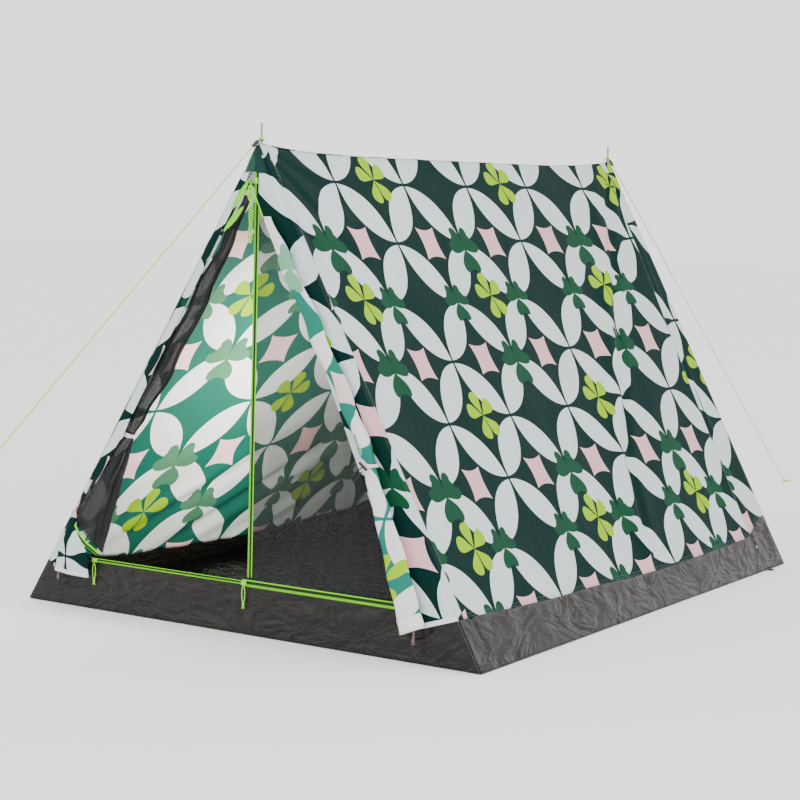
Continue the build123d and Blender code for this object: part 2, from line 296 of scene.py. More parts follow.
def print_masks(material):
    """Where the print's petals, pink squares, clovers and flowers are."""
    u, v = material.uv()
    across = (u - PRINT_U) / PRINT_WIDE
    down = (v - PRINT_V) / PRINT_TALL
    s = down + across
    t = down - across
    cell_s = s.floor()
    cell_t = t.floor()
    cs = s - cell_s - 0.5
    ct = t - cell_t - 0.5
    own = (cs * cs + ct * ct) < CIRCLE**2
    far_s = abs(cs) - 1.0
    far_t = abs(ct) - 1.0
    beside = ((far_s * far_s + ct * ct) < CIRCLE**2).highest((far_t * far_t + cs * cs) < CIRCLE**2)
    petals = own * beside
    near_s = -abs(cs) + 0.5
    near_t = -abs(ct) + 0.5
    square = (near_s * near_s + near_t * near_t) > CUP**2
    pink = square * (cell_s + cell_t).mod(2.0).equals(0.0)

    node_s = s.round()
    node_t = t.round()
    ds = s - node_s
    dt = t - node_t
    big = (node_s - node_t).mod(4.0).equals(3.0)
    small = (node_s + node_t).mod(4.0).equals(2.0)
    dx = abs(ds - dt) * (PRINT_WIDE / 2)
    dy = (ds + dt) * (-PRINT_TALL / 2) + big * CLOVER_LOW[0] + small * CLOVER_LOW[1]
    reach = (dx * dx + dy * dy).root()
    upper = heart(abs(dy.arctan2(dx) - HEART_TILT))
    lower = heart(dx.arctan2(-dy))
    size = big.highest(small * CLOVER_SMALL)
    clovers = reach < size * upper.highest(lower)

    fx = (cs - ct) * (PRINT_WIDE / 2) - FLOWER_AT[0]
    fy = (cs + ct) * (-PRINT_TALL / 2) - FLOWER_AT[1]
    flower = None
    for degrees in FLOWER_PETALS:
        away = Vector((math.cos(math.radians(degrees)), math.sin(math.radians(degrees))))
        out = ((fx * away.x + fy * away.y) / FLOWER_LENGTH).highest(0.0).lowest(1.0)
        aside = abs(fy * away.x - fx * away.y)
        petal = aside < out.power(1.5) * (-out + 1.0).root() * FLOWER_FULLNESS
        flower = petal if flower is None else flower.highest(petal)
    flower = flower * cell_s.mod(2.0).equals(0.0) * cell_t.mod(2.0).equals(1.0)
    return petals, pink, clovers, flower, u, v


def printed(name, ground, petal, pink, clover, flower, translucent):
    """Thin coated cloth with the print on it. Some light comes through it."""
    made = Material(name, ground, IOR=1.16)
    petals, squares, clovers, flowers, u, v = print_masks(made)
    made.paint(squares, pink)
    made.paint(petals, petal)
    made.paint(clovers, clover)
    made.paint(flowers, flower)
    cloudy = made.noise(5.0, 4.0)
    made.shade(cloudy, 0.10)
    grain = made.noise(900.0, 1.0)
    made.shade(grain, 0.05)
    weave = (u * 5200.0).sine() * (v * 5200.0).sine()
    made.raise_by(weave, 0.00004)
    made.raise_by(made.noise(26.0, 4.0, (1, 1, 1), 0.6, 0.6), 0.0022)
    made.raise_by(made.noise(110.0, 2.0), 0.00035)
    made.drive("Roughness", (cloudy - 0.5) * 0.25 + 0.52)
    return made.done(translucent)


def leafy(name, ground, leaf):
    """Dark cloth with the edge of a leaf of the print at its left."""
    made = Material(name, ground, 0.52, IOR=1.25)
    u, v = made.uv()
    across = (u - 0.16) / 0.30
    down = (v - 0.72) / 0.42
    made.paint((across * across + down * down) < 1.0, leaf)
    made.shade(made.noise(60.0, 3.0), 0.25)
    made.raise_by(made.noise(60.0, 3.0), 0.002)
    return made.done()


def tarpaulin(name, colour, ior):
    """The dark woven-plastic floor cloth: shiny, with soft creases, and painted shade in their hollows.
    """
    made = Material(name, colour, 0.4, IOR=ior)
    u, v = made.uv()
    folds = made.noise(5.0, 3.0, (1, 1, 2.2), 0.5, 1.6)
    ridges = abs(folds - 0.5) * 2.0
    fine = made.noise(26.0, 2.0, (1, 1, 2.0), 0.5, 1.5)
    lines = abs(fine - 0.5) * 2.0
    # Painted shade and light: the colour is darkened where the relief sinks between the creases and
    # lightened along their crests.
    made.shade(ridges, -0.25)
    made.shade(lines, -0.06)
    made.shade(made.noise(4.0, 2.0), 0.25)
    tape = (u * 2500.0).sine() + (v * 2500.0).sine()
    made.raise_by(ridges, -0.0110)
    made.raise_by(lines, -0.0005)
    made.raise_by(tape, 0.00003)
    made.drive("Roughness", lines * 0.25 + 0.24)
    return made.done()


def net(name, hole, thread):
    """Black mosquito net: threads about every 1.2 mm, and air between."""
    made = Material(name, (0.012, 0.012, 0.013), 0.7, Specular_IOR_Level=0.2)
    u, v = made.uv()
    threads = (abs((u * 2600.0).sine()) < 0.35).highest(abs((v * 2600.0).sine()) < 0.35)
    folds = made.noise(9.0, 2.0, (3.0, 1.0, 0.5))
    made.drive("Alpha", threads * (thread - hole) + (folds - 0.5) * 0.12 + hole)
    # Painted shade and light: the net's colour is darkened and lightened along its folds, besides its
    # see-through share.
    made.shade(folds, 0.8)
    return made.done()


def zip_tape():
    """Lime tape with a dark coil down its middle: u across, from -1 to 1, and v along."""
    made = Material("zip_tape", srgb(120, 214, 0), 0.6, IOR=1.3)
    u, v = made.uv()
    rib = (v * 3600.0).sine()
    coil = abs(u - 0.22) < 0.46
    teeth = (v * 2100.0).sine() > -0.2
    made.paint(coil, srgb(26, 62, 0))
    made.paint(coil * teeth, srgb(6, 24, 6))
    made.paint(abs(u + 0.62) < 0.04, srgb(80, 160, 0))
    made.shade(made.noise(160.0, 2.0), 0.18)
    made.raise_by(rib * (-coil + 1.0), 0.00006)
    made.raise_by(coil * teeth, 0.0005)
    return made.done()


def cord_material(name, colour, stripe, scale=1500.0):
    """Braided cord: slanted strands with a flecked shade."""
    made = Material(name, colour, 0.6, Sheen_Weight=0.3)
    strands = made.noise(scale, 2.0, (1, 1, 0.5))
    made.paint(strands > 0.58, stripe)
    made.shade(made.noise(300.0, 2.0), 0.3)
    made.raise_by(strands, 0.0004)
    return made.done()


def coated_metal(name, colour, roughness, metallic=1.0):
    made = Material(name, colour, roughness, Metallic=metallic)
    scuffs = made.noise(180.0, 4.0, (1, 1, 0.15))
    made.shade(scuffs, 0.25)
    made.drive("Roughness", (scuffs - 0.5) * 0.3 + roughness)
    made.raise_by(scuffs, 0.00005)
    return made.done()


def moulded(name, colour, roughness=0.45):
    made = Material(name, colour, roughness)
    grain = made.noise(700.0, 2.0)
    made.shade(grain, 0.2)
    made.drive("Roughness", (grain - 0.5) * 0.2 + roughness)
    made.raise_by(grain, 0.00008)
    return made.done()


def webbing(name, colour, stripe):
    """Narrow woven tape or elastic: ribs across, a fleck along."""
    made = Material(name, colour, 0.75, Sheen_Weight=0.3)
    u, v = made.uv()
    ribs = (v * 5200.0).sine()
    made.paint((u * 2100.0).sine() > 0.75, stripe)
    made.shade(made.noise(450.0, 2.0), 0.25)
    made.raise_by(ribs, 0.0001)
    return made.done()


OUTER = printed("printed_outer", srgb(0, 41, 37), srgb(214, 226, 226), srgb(234, 186, 194),
                srgb(16, 75, 50), srgb(158, 204, 0), 0.25)
# The walls' inside face: the cloth's reverse print, its colours lightened as painted light to make up
# for the shade inside the tent.
INNER = printed("printed_inner", srgb(30, 98, 80), srgb(218, 220, 210), srgb(226, 196, 190),
                srgb(74, 124, 90), srgb(148, 182, 0), 0.40)
LINING = printed("printed_lining", srgb(37, 124, 108), srgb(228, 232, 228), srgb(226, 208, 206),
                 srgb(120, 176, 140), srgb(160, 204, 10), 0.20)
HOOD = leafy("hood_cloth", srgb(2, 44, 40), srgb(22, 71, 52))
TUB = tarpaulin("tub_sheet", srgb(19, 17, 14), 1.33)
# The floor is the tub's own cloth; its darker colour is painted shade for the dim inside of the tent.
FLOOR = tarpaulin("floor_sheet_shaded", srgb(11, 10, 9), 1.2)
NET = net("net_flat", 0.64, 0.86)
NET_FOLDED = net("net_folded", 0.70, 0.88)
ZIP = zip_tape()
LIME_CORD = cord_material("lime_cord", srgb(140, 228, 0), srgb(90, 180, 0))
GUY_CORD = cord_material("guy_cord", srgb(140, 228, 0), srgb(116, 206, 0))
PINK_TIE = webbing("pink_tie", srgb(226, 190, 196), srgb(240, 228, 226))
HEM = webbing("white_hem", srgb(222, 226, 222), srgb(206, 210, 206))
ELASTIC = webbing("elastic", srgb(36, 32, 34), srgb(214, 150, 160))
THREAD = cord_material("stitch_thread", srgb(120, 140, 136), srgb(96, 116, 110), 4000.0)
PALE_THREAD = cord_material("pale_thread", srgb(150, 146, 140), srgb(120, 116, 112), 4000.0)
LIME_METAL = coated_metal("lime_slider", srgb(140, 205, 40), 0.4, 0.25)
STEEL = coated_metal("bare_steel", srgb(150, 142, 150), 0.35)
COATED_STEEL = coated_metal("coated_steel", srgb(70, 76, 78), 0.4, 0.6)
BLACK = moulded("black_plastic", srgb(10, 10, 11))
RUBBER = moulded("foot_rubber", srgb(26, 26, 27), 0.7)


# ---- Mesh helpers ---------------------------------------------------------------------------
def new_mesh(name, verts, faces, uvs, materials, body="tent", smooth_shading=True):
    """An object from vertices, faces and one (u, v) for each vertex."""
    mesh = bpy.data.meshes.new(name)
    mesh.from_pydata([tuple(v) for v in verts], [], faces)
    layer = mesh.uv_layers.new(name="cloth")
    for loop in mesh.loops:
        layer.data[loop.index].uv = uvs[loop.vertex_index]
    for material in materials:
        mesh.materials.append(material)
    mesh.polygons.foreach_set("use_smooth", [smooth_shading] * len(mesh.polygons))
    made = bpy.data.objects.new(name, mesh)
    bpy.context.scene.collection.objects.link(made)
    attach(made, body)
    return made


def grid(name, nu, nv, place, cloth, materials, flip=False, body="tent", wrap=False, thick=CLOTH):
    """A sheet from place(u, v), with its flat size from cloth(u, v), both over 0 to 1."""
    verts = []
    uvs = []
    columns = nu if wrap else nu + 1
    for j in range(nv + 1):
        for i in range(columns):
            verts.append(place(i / nu, j / nv))
            uvs.append(cloth(i / nu, j / nv))
    faces = []
    for j in range(nv):
        for i in range(nu):
            a = j * columns + i
            b = j * columns + (i + 1) % columns
            face = (a, b, b + columns, a + columns)
            faces.append(face[::-1] if flip else face)
    piece = new_mesh(name, verts, faces, uvs, materials, body)
    if thick:
        thicken(piece, thick)
    return piece


def thicken(piece, thickness):
    """Gives a sheet its thickness, with the second material on the inside."""
    solid = piece.modifiers.new("thickness", "SOLIDIFY")
    solid.thickness = thickness
    solid.offset = -1
    solid.use_even_offset = True
    if len(piece.data.materials) > 1:
        solid.material_offset = 1
        solid.material_offset_rim = 0


def declare(piece, node, slot, **sheet):
    """Hides the CAD node that a sheet stands for. The slot and the sheet's details (what it is made of,
    how it hangs) are not used.
    """
    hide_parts(node)


def ring_frame(direction, lead=Vector((1, 0, 0))):
    """Two directions square to a path, the first as near to lead as it can be."""
    direction = direction.normalized()
    first = (lead - direction * lead.dot(direction)).normalized()
    return first, direction.cross(first)


def circle(count, place):
    """The points place(angle) at even steps round a circle."""
    return [place(2 * math.pi * k / count) for k in range(count)]


def tube_mesh(name, points, radius, material, body="tent", sides=8, closed=False):
    """A round cord or wire through points."""
    count = len(points)
    verts = []
    uvs = []
    lead = Vector((0.31, 0.87, 0.38))
    for i, point in enumerate(points):
        if closed:
            tangent = points[(i + 1) % count] - points[i - 1]
        else:
            tangent = points[min(i + 1, count - 1)] - points[max(i - 1, 0)]
        first, second = ring_frame(tangent, lead)
        lead = first
        for k in range(sides):
            angle = 2 * math.pi * k / sides
            verts.append(point + first * math.cos(angle) * radius + second * math.sin(angle) * radius)
            uvs.append((k / sides, i / count))
    faces = []
    for i in range(count if closed else count - 1):
        for k in range(sides):
            a = i * sides + k
            b = i * sides + (k + 1) % sides
            c = ((i + 1) % count) * sides + (k + 1) % sides
            d = ((i + 1) % count) * sides + k
            faces.append((a, b, c, d))
    if not closed:
        faces.append(tuple(range(sides))[::-1])
        faces.append(tuple(range((count - 1) * sides, count * sides)))
    return new_mesh(name, verts, faces, uvs, [material], body)


def spline(points, steps):
    """A smooth line through points (Catmull-Rom), steps to a span."""
    ends = [points[0] * 2 - points[1], *points, points[-1] * 2 - points[-2]]
    line = []
    for a, b, c, d in zip(ends, ends[1:], ends[2:], ends[3:]):
        for k in range(steps):
            t = k / steps
            line.append(
                0.5 * (2 * b + (c - a) * t + (2 * a - 5 * b + 4 * c - d) * t * t
                       + (3 * b - a - 3 * c + d) * t**3)
            )
    line.append(points[-1])
    return line


def join(pieces, name):
    """Several meshes as one piece."""
    bpy.ops.object.select_all(action="DESELECT")
    for piece in pieces:
        piece.select_set(True)
    bpy.context.view_layer.objects.active = pieces[0]
    bpy.ops.object.join()
    made = bpy.context.view_layer.objects.active
    made.name = name
    return made


STITCH = 0.0028
STITCH_STEP = 0.0042
THREAD_RADIUS = 0.0005


def stitches(name, lines, outward, material=THREAD):
    """Rows of short thread stitches along lines of points, standing out by half a thread."""
    verts = []
    faces = []
    for line in lines:
        total = 0.0
        reached = 0.0
        for a, b in zip(line, line[1:]):
            run = (b - a).length
            step = (b - a).normalized()
            side = step.cross(outward).normalized()
            while reached < total + run:
                centre = a + step * (reached - total) + outward * 0.0002
                base = len(verts)
                verts += [
                    centre - step * (STITCH / 2),
                    centre + side * THREAD_RADIUS,
                    centre + outward * THREAD_RADIUS,
                    centre - side * THREAD_RADIUS,
                    centre + step * (STITCH / 2),
                ]
                faces += [
                    (base, base + 2, base + 1),
                    (base, base + 3, base + 2),
                    (base + 4, base + 1, base + 2),
                    (base + 4, base + 2, base + 3),
                    (base, base + 1, base + 4, base + 3),
                ]
                reached += STITCH_STEP
            total += run
    uvs = [(v.y, v.z) for v in verts]
    return new_mesh(name, verts, faces, uvs, [material], smooth_shading=False)


# ---- Camera, light and floor ----------------------------------------------------------------
CAMERA_PLACE = (3.2119, -5.2502, 1.1737)
CAMERA_TURN = (-32.71, 5.833, 1.306)  # yaw, pitch down and roll, in degrees
CAMERA_LENS = 91.34
STUDIO_FLOOR = 30.0  # half its width
STUDIO_FLOOR_Z = -0.0015


def make_camera():
    yaw, pitch, roll = (math.radians(angle) for angle in CAMERA_TURN)
    reach = math.cos(pitch)
    forward = Vector((math.sin(yaw) * reach, math.cos(yaw) * reach, -math.sin(pitch)))
    level = Vector((math.cos(yaw), -math.sin(yaw), 0))
    upright = level.cross(forward)
    right = level * math.cos(roll) + upright * math.sin(roll)
    up = upright * math.cos(roll) - level * math.sin(roll)
    data = bpy.data.cameras.new("camera")
    data.lens = CAMERA_LENS
    data.sensor_width = 36.0
    camera = bpy.data.objects.new("camera", data)
    turn = Matrix((right, up, -forward)).transposed().to_4x4()
    camera.matrix_world = Matrix.Translation(CAMERA_PLACE) @ turn
    bpy.context.scene.collection.objects.link(camera)
    bpy.context.scene.camera = camera


def area_light(name, place, target, size, watts):
    data = bpy.data.lights.new(name, "AREA")
    data.shape = "DISK"
    data.size = size
    data.energy = watts
    light = bpy.data.objects.new(name, data)
    light.location = place
    light.visible_camera = False
    light.rotation_euler = (Vector(target) - Vector(place)).to_track_quat("-Z", "Y").to_euler()
    bpy.context.scene.collection.objects.link(light)


def make_studio():
    world = bpy.data.worlds.new("studio")
    world.use_nodes = True
    background = world.node_tree.nodes["Background"]
    background.inputs["Color"].default_value = (1, 1, 1, 1)
    background.inputs["Strength"].default_value = 1.9
    bpy.context.scene.world = world
    area_light("key", (4.6, -3.8, 3.4), (0.2, 0.0, 0.5), 2.5, 150)
    area_light("fill", (-2.6, -5.6, 1.8), (-0.2, 0.0, 0.5), 2.5, 30)
    area_light("inside", (0.12, -0.48, 0.52), (-0.6, -0.42, 0.62), 0.6, 27)
    corners = ((-1, -1), (1, -1), (1, 1), (-1, 1))
    verts = [(x * STUDIO_FLOOR, y * STUDIO_FLOOR, STUDIO_FLOOR_Z) for x, y in corners]
    mesh = bpy.data.meshes.new("floor")
    mesh.from_pydata(verts, [], [(0, 1, 2, 3)])
    floor = bpy.data.objects.new("floor", mesh)
    made = Material("studio_floor", (0.93, 0.93, 0.93), 0.8)
    made.shade(made.noise(2.0, 2.0), 0.01)
    mesh.materials.append(made.done())
    bpy.context.scene.collection.objects.link(floor)


# ---- Guy lines ------------------------------------------------------------------------------
GUY_RUN = 1.710
GUY_DIAMETER = 0.0034
SPIKE_GAP = 0.0074
GUY_TOP_Z = 1.307
GUY_FOOT_Z = 0.003


def make_guys():
    for end, away, apex in (("front", -1, FRONT_APEX_Y), ("rear", 1, REAR_APEX_Y)):
        spike_y = apex - away * POLE_INSET
        top = Vector((0, spike_y + away * SPIKE_GAP, GUY_TOP_Z))
        ground = Vector((0, apex + away * GUY_RUN, GUY_FOOT_Z))
        curve = bpy.data.curves.new(f"{end}_guy_cord", "CURVE")
        curve.dimensions = "3D"
        curve.bevel_depth = GUY_DIAMETER / 2
        curve.bevel_resolution = 3
        curve.use_fill_caps = True
        line = curve.splines.new("NURBS")
        route = [top, top.lerp(ground, 0.3), top.lerp(ground, 0.7), ground]
        line.points.add(len(route) - 1)
        for point, place in zip(line.points, route):
            point.co = (*place, 1)
        line.order_u = 3
        line.use_endpoint_u = True
        curve.materials.append(GUY_CORD)
        piece = bpy.data.objects.new(f"{end}_guy_cord", curve)
        bpy.context.scene.collection.objects.link(piece)
        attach(piece, "tent")
        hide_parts(f"{end}_guy_line")
        loop = ground_loop(end, away, ground)
        spike_knot(end, spike_y)


def ground_loop(end, away, ground):
    """The knot and the loop that a ground peg holds."""
    centre = Vector((0, ground.y + away * 0.024, GUY_DIAMETER / 2 + 0.0001))

    def round_loop(angle):
        return centre + Vector((0.0145 * math.sin(angle), 0.0165 * math.cos(angle), 0))

    ring = circle(28, round_loop)
    loop = tube_mesh(f"{end}_loop_ring", ring, GUY_DIAMETER / 2, GUY_CORD, closed=True)
    knot_at = Vector((0, ground.y + away * 0.0045, 0.0036))
    knot = wound_knot(f"{end}_loop_knot", knot_at, Vector((0, 1, 0)), 0.0022, 0.0015, GUY_CORD)
    made = join([loop, knot], f"{end}_guy_end_loop")
    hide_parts(f"{end}_guy_loop")
    return made


KNOT_TURNS = 3


def wound_knot(name, centre, axis, radius, thick, material, body="tent"):
    """Turns of cord laid close round an axis, as in an overhand knot."""
    first, second = ring_frame(axis)
    axis = axis.normalized()
    points = []
    steps = 12 * KNOT_TURNS
    for k in range(steps + 1):
        angle = 2 * math.pi * k / 12
        lift = (k / steps - 0.5) * KNOT_TURNS * thick * 1.7
        size = radius * (0.75 + 0.35 * math.sin(math.pi * k / steps))
        out = first * math.cos(angle) + second * math.sin(angle)
        points.append(centre + axis * lift + out * size)
    return tube_mesh(name, points, thick, material, body, sides=7)


def spike_knot(end, spike_y):
    """The guy line's turns round its spike."""
    centre = Vector((0, spike_y, 1.3062))
    made = wound_knot(f"{end}_spike_knot", centre, Vector((0, 0, 1)), 0.0052, 0.0016, GUY_CORD)
    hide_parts(f"{end}_guy_knot")


# ---- Walls ----------------------------------------------------------------------------------
TUB_TOP_LENGTH = 1.96
# Height of the tub walls' upper edges, at distances from the front
TUB_TOP = [(0.0, 0.124), (0.6, 0.109), (1.2, 0.096), (1.75, 0.102), (1.96, 0.148)]
LEFT_TUB_TOP = [(0.0, 0.118), (0.45, 0.080), (0.9, 0.066), (1.5, 0.085), (1.96, 0.148)]
SEAM_BEFORE_POLE = 0.022
PRINT_DRAWN = 1.9  # how far the print is drawn along the ridge for each length of bow
# The right wall's long fold: distances from the front and down the slope
FOLD_LINE = [(2.02, 0.03), (1.62, 0.55), (1.42, 0.83), (1.25, 1.04), (1.15, 1.27)]


def fold_distance(y, s):
    """Signed distance from the long fold that runs down from the back apex."""
    best = None
    for (y0, s0), (y1, s1) in zip(FOLD_LINE, FOLD_LINE[1:]):
        span = Vector((y1 - y0, s1 - s0))
        rel = Vector((y - y0, s - s0))
        t = min(max(rel.dot(span) / span.length_squared, 0), 1)
        off = rel - span * t
        side = 1 if span.x * rel.y - span.y * rel.x > 0 else -1
        if best is None or off.length < abs(best):
            best = off.length * side
    return best


def apex_fans(t, s):
    """Tension folds that spread from the two upper corners."""
    total = 0.0
    for near, phase, strength in ((0.0, 0.4, 1.0), (1.0, 1.9, 0.9)):
        dy = abs(t - near) * RIDGE + 0.01
        reach = math.hypot(dy, s)
        angle = math.atan2(s, dy)
        swell = (1 - math.exp(-reach / 0.05)) * math.exp(-reach / 0.42)
        folds = math.sin(15 * angle + phase) + 0.6 * math.sin(29 * angle + 2 * phase)
        total += strength * swell * folds
    return total


def wall_hang(t, s):
    """The share of its full bow that a wall has at a point."""
    v = min(s / SLOPE, 1)
    return math.sin(math.pi * min(max(t, 0), 1)) ** 0.8 * math.sin(math.pi * v) ** 0.7


def wall_push(side, t, s, y):
    """How far the cloth stands in from the flat wall."""
    hang = wall_hang(t, s)
    seed = 3.7 if side > 0 else 8.1
    push = WALL_BOW * hang
    y = y - PRINT_DRAWN * push
    push += 0.0028 * apex_fans(t, s)
    push += 0.007 * wave(y * 1.7, s * 1.9, seed) * hang
    push += 0.0022 * wave(y * 7.0, s * 4.0, seed + 2) * min(1.0, hang * 2)
    pucker = math.exp(-(SLOPE * 0.91 - s) / 0.06) if s < SLOPE * 0.91 else 1.0
    push += 0.0018 * pucker * wave(y * 22.0, s * 3.0, seed + 5)
    if side > 0:
        d = fold_distance(y, s)
        fade = smooth(s / 0.2)
        folds = 0.011 * bump(d, 0.022) - 0.007 * bump(d - 0.055, 0.035) + 0.004 * bump(d + 0.08, 0.05)
        push += fade * folds
        push += 0.005 * bump(y - 1.02, 0.05) * smooth((s - 0.75) / 0.3)
    else:
        slant = y * 0.50 + s * 0.86
        low = bump(s - 1.22, 0.20) * bump(y - 0.75, 0.5)
        push += low * (0.007 * math.sin(42 * slant) + 0.004 * math.sin(71 * slant + 1.3))
    return push


def ridge_drop(t):
    return RIDGE_SAG * (1 - abs(2 * t - 1) ** 5)


def wall_point(side, t, z, lift=0.0):
    """A point on a side wall: t along from the front, z the flat wall's height."""
    y = lerp(front_y(z), rear_y(z), t)
    s = (APEX_Z - z) * ALONG_SLOPE
    local = y - FRONT_BASE_Y
    push = wall_push(side, t, s, local)
    near_front = (y - front_y(z)) / 0.012
    if near_front < 1:
        push = push * smooth(near_front)
    pole = y - rear_pole_y(z)
    push -= 0.0045 * bump(pole, 0.011)
    drop = ridge_drop(t) * (1 - s / SLOPE) ** 0.8
    inward = Vector((-side * APEX_Z, 0, -HALF_WIDTH)).normalized()
    point = Vector((side * (side_x(z) - 0.0012), y, z - drop))
    return point + inward * (max(push, -0.0005) - lift)


def left_stretch(y):
    """Cloth length from the front edge of the left wall, which hangs in a deep curve."""
    return y - 0.105 * (1 + math.tanh((y - 0.52) / 0.42)) + 0.105 * (1 + math.tanh(-0.52 / 0.42))


def patch(y, s, at_y, at_s, wide, tall):
    return bump(y - at_y, wide) * bump(s - at_s, tall)


def drawn(y, s):
    """How the right wall's print is pulled along and down by its seams."""
    along_ridge = 0.009
    along_ridge -= 0.060 * patch(y, s, 0.10, 0.68, 0.33, 0.36)
    along_ridge -= 0.057 * patch(y, s, 1.95, 0.12, 0.55, 0.42)
    along_ridge += 0.055 * patch(y, s, 1.95, 1.20, 0.33, 0.33)
    along_ridge -= 0.018 * smooth((s - 0.85) / 0.3) * smooth((1.6 - y) / 0.4)
    down_slope = 0.006 * smooth((s - 0.9) / 0.2) + 0.010 * bump(y, 0.22)
    down_slope -= 0.012 * patch(y, s, 0.7, 0.5, 0.6, 0.36)
    return along_ridge, down_slope


def rear_seam(z):
    """Where along the wall the rear pole sleeve's seam is, from 0 to 1."""
    return (rear_pole_y(z) - SEAM_BEFORE_POLE - front_y(z)) / (rear_y(z) - front_y(z))


FRONT_SEAM = 0.028 / RIDGE
SEAM_GAP = 0.0001 / RIDGE
WALL_COLUMNS = 200


def wall_column(u, z):
    """The place along the wall of a grid column, and the panel it belongs to."""
    i = round(u * WALL_COLUMNS)
    if i <= 4:
        return lerp(0, FRONT_SEAM - SEAM_GAP, i / 4), "front"
    if i <= 190:
        return lerp(FRONT_SEAM + SEAM_GAP, rear_seam(z) - SEAM_GAP, (i - 5) / 185), "middle"
    return lerp(rear_seam(z) + SEAM_GAP, 1, (i - 191) / 9), "rear"


def strip_cloth(x_in, z):
    """The print on the front strips, which are cut askew to it; x_in is from the pole's edge."""
    high = smooth((z - 0.25) / 0.85)
    s = (APEX_Z - z) * ALONG_SLOPE
    return lerp(0.745, 0.609, high) - x_in, s + 0.220


def wall_cloth(side, t, z, panel):
    y = lerp(front_y(z), rear_y(z), t) - FRONT_BASE_Y
    s = (APEX_Z - z) * ALONG_SLOPE
    bow = WALL_BOW * wall_hang(t, s)
    s += 1.15 * ridge_drop(t) * (1 - s / SLOPE) ** 0.8
    if side < 0:
        y += 1.85 * bow
        s += 0.81 * bow
        high = smooth((z - 0.15) / 0.35)
        return 0.170 - (left_stretch(y) - left_stretch(0.382)), s - lerp(0.045, 0.020, high)
    if panel == "front":
        return strip_cloth(-t * RIDGE, z)
    if panel == "rear":
        return y - 0.068, s + 0.052
    y -= PRINT_DRAWN * bow
    s += 0.33 * bow
    along_ridge, down_slope = drawn(y, s)
    d = fold_distance(y, s)
    ripple = 0.012 * bump(d, 0.14) * wave(y * 13, s * 13, 4.0)
    return y + along_ridge + ripple, s + down_slope + ripple * 0.8


def make_wall(side):
    hand = "right" if side > 0 else "left"
    tub_top = TUB_TOP if side > 0 else LEFT_TUB_TOP
    top = APEX_Z * (1 - 0.002 / HALF_WIDTH)

    def height(t, v):
        foot = max(at(tub_top, t * TUB_TOP_LENGTH), 0.06)
        return lerp(top, foot, v)

    def place(u, v):
        t = wall_column(u, height(u, v))[0]
        return wall_point(side, t, height(t, v))

    def cloth(u, v):
        t, panel = wall_column(u, height(u, v))
        return wall_cloth(side, t, height(t, v), panel)

    piece = grid(f"{hand}_wall_cloth", WALL_COLUMNS, 120, place, cloth, [OUTER, INNER], flip=side > 0)
    declare(piece, f"{hand}_wall", "printed_cloth", flat=(2.05, 1.40), held="stretched",
            rests_on=[f"front_{hand}_pole_sleeve", f"rear_{hand}_pole_sleeve"],
            with_pieces=[wall_seams(side, height)])


def wall_seams(side, height):
    """Double-stitched seams beside the front and rear pole sleeves, and along the floor edge."""
    hand = "right" if side > 0 else "left"
    outward = Vector((side * APEX_Z, 0, HALF_WIDTH)).normalized()
    on_cloth = 0.0003
    fronts = [lerp(1.29, 0.128, k / 60) for k in range(61)]
    rears = [lerp(1.28, 0.13, k / 60) for k in range(61)]
    feet = [k / 90 for k in range(1, 90)]
    lines = []
    for inset in (0.024, 0.031):
        lines.append([wall_point(side, inset / RIDGE, z, on_cloth) for z in fronts])
    for after in (0.003, -0.004):
        lines.append([wall_point(side, rear_seam(z) + after / RIDGE, z, on_cloth) for z in rears])
    for above in (0.004, 0.010):
        lines.append([wall_point(side, t, height(t, 1.0) + above, on_cloth) for t in feet])
    return stitches(f"{hand}_wall_stitching", lines, outward)


REAR_WALL_TOP = 1.284


def make_rear_wall():
    def place(u, v):
        z = lerp(REAR_WALL_TOP, REAR_TUB, v)
        wide = side_x(z) - 0.003
        x = lerp(-wide, wide, u)
        inset = 0.016 * math.sin(math.pi * u) * math.sin(math.pi * v) ** 0.7
        inset += 0.003 * wave(x * 3, z * 3, 21.0) * math.sin(math.pi * u)
        return Vector((x, rear_y(z) - 0.0006 - inset, z))

    def cloth(u, v):
        z = lerp(REAR_WALL_TOP, REAR_TUB, v)
        x = lerp(-side_x(z), side_x(z), u)
        return -x + 0.52, APEX_Z - z + 0.03

    piece = grid("rear_wall_cloth", 90, 80, place, cloth, [OUTER, INNER])
    heights = [lerp(1.25, 0.16, k / 40) for k in range(41)]
    lines = []
    for side in (-1, 1):
        lines.append([Vector((side * (side_x(z) - 0.014), rear_y(z) + 0.0004, z)) for z in heights])
    seams = stitches("rear_wall_stitching", lines, Vector((0, 1, 0)))
    declare(piece, "rear_wall", "printed_cloth", flat=(1.34, 1.15), held="stretched",
            rests_on=["right_wall_cloth", "left_wall_cloth"], area=0.78, with_pieces=[seams])


# ---- Floor and its upturned edges -----------------------------------------------------------
def crinkle(x, y, seed, size=0.0035):
    sharp = 1 - abs(wave(x * 9, y * 9, seed)) * 2
    finer = 1 - abs(wave(x * 24, y * 24, seed + 7)) * 2
    return size * (sharp * 0.7 + finer * 0.3 - 0.6)


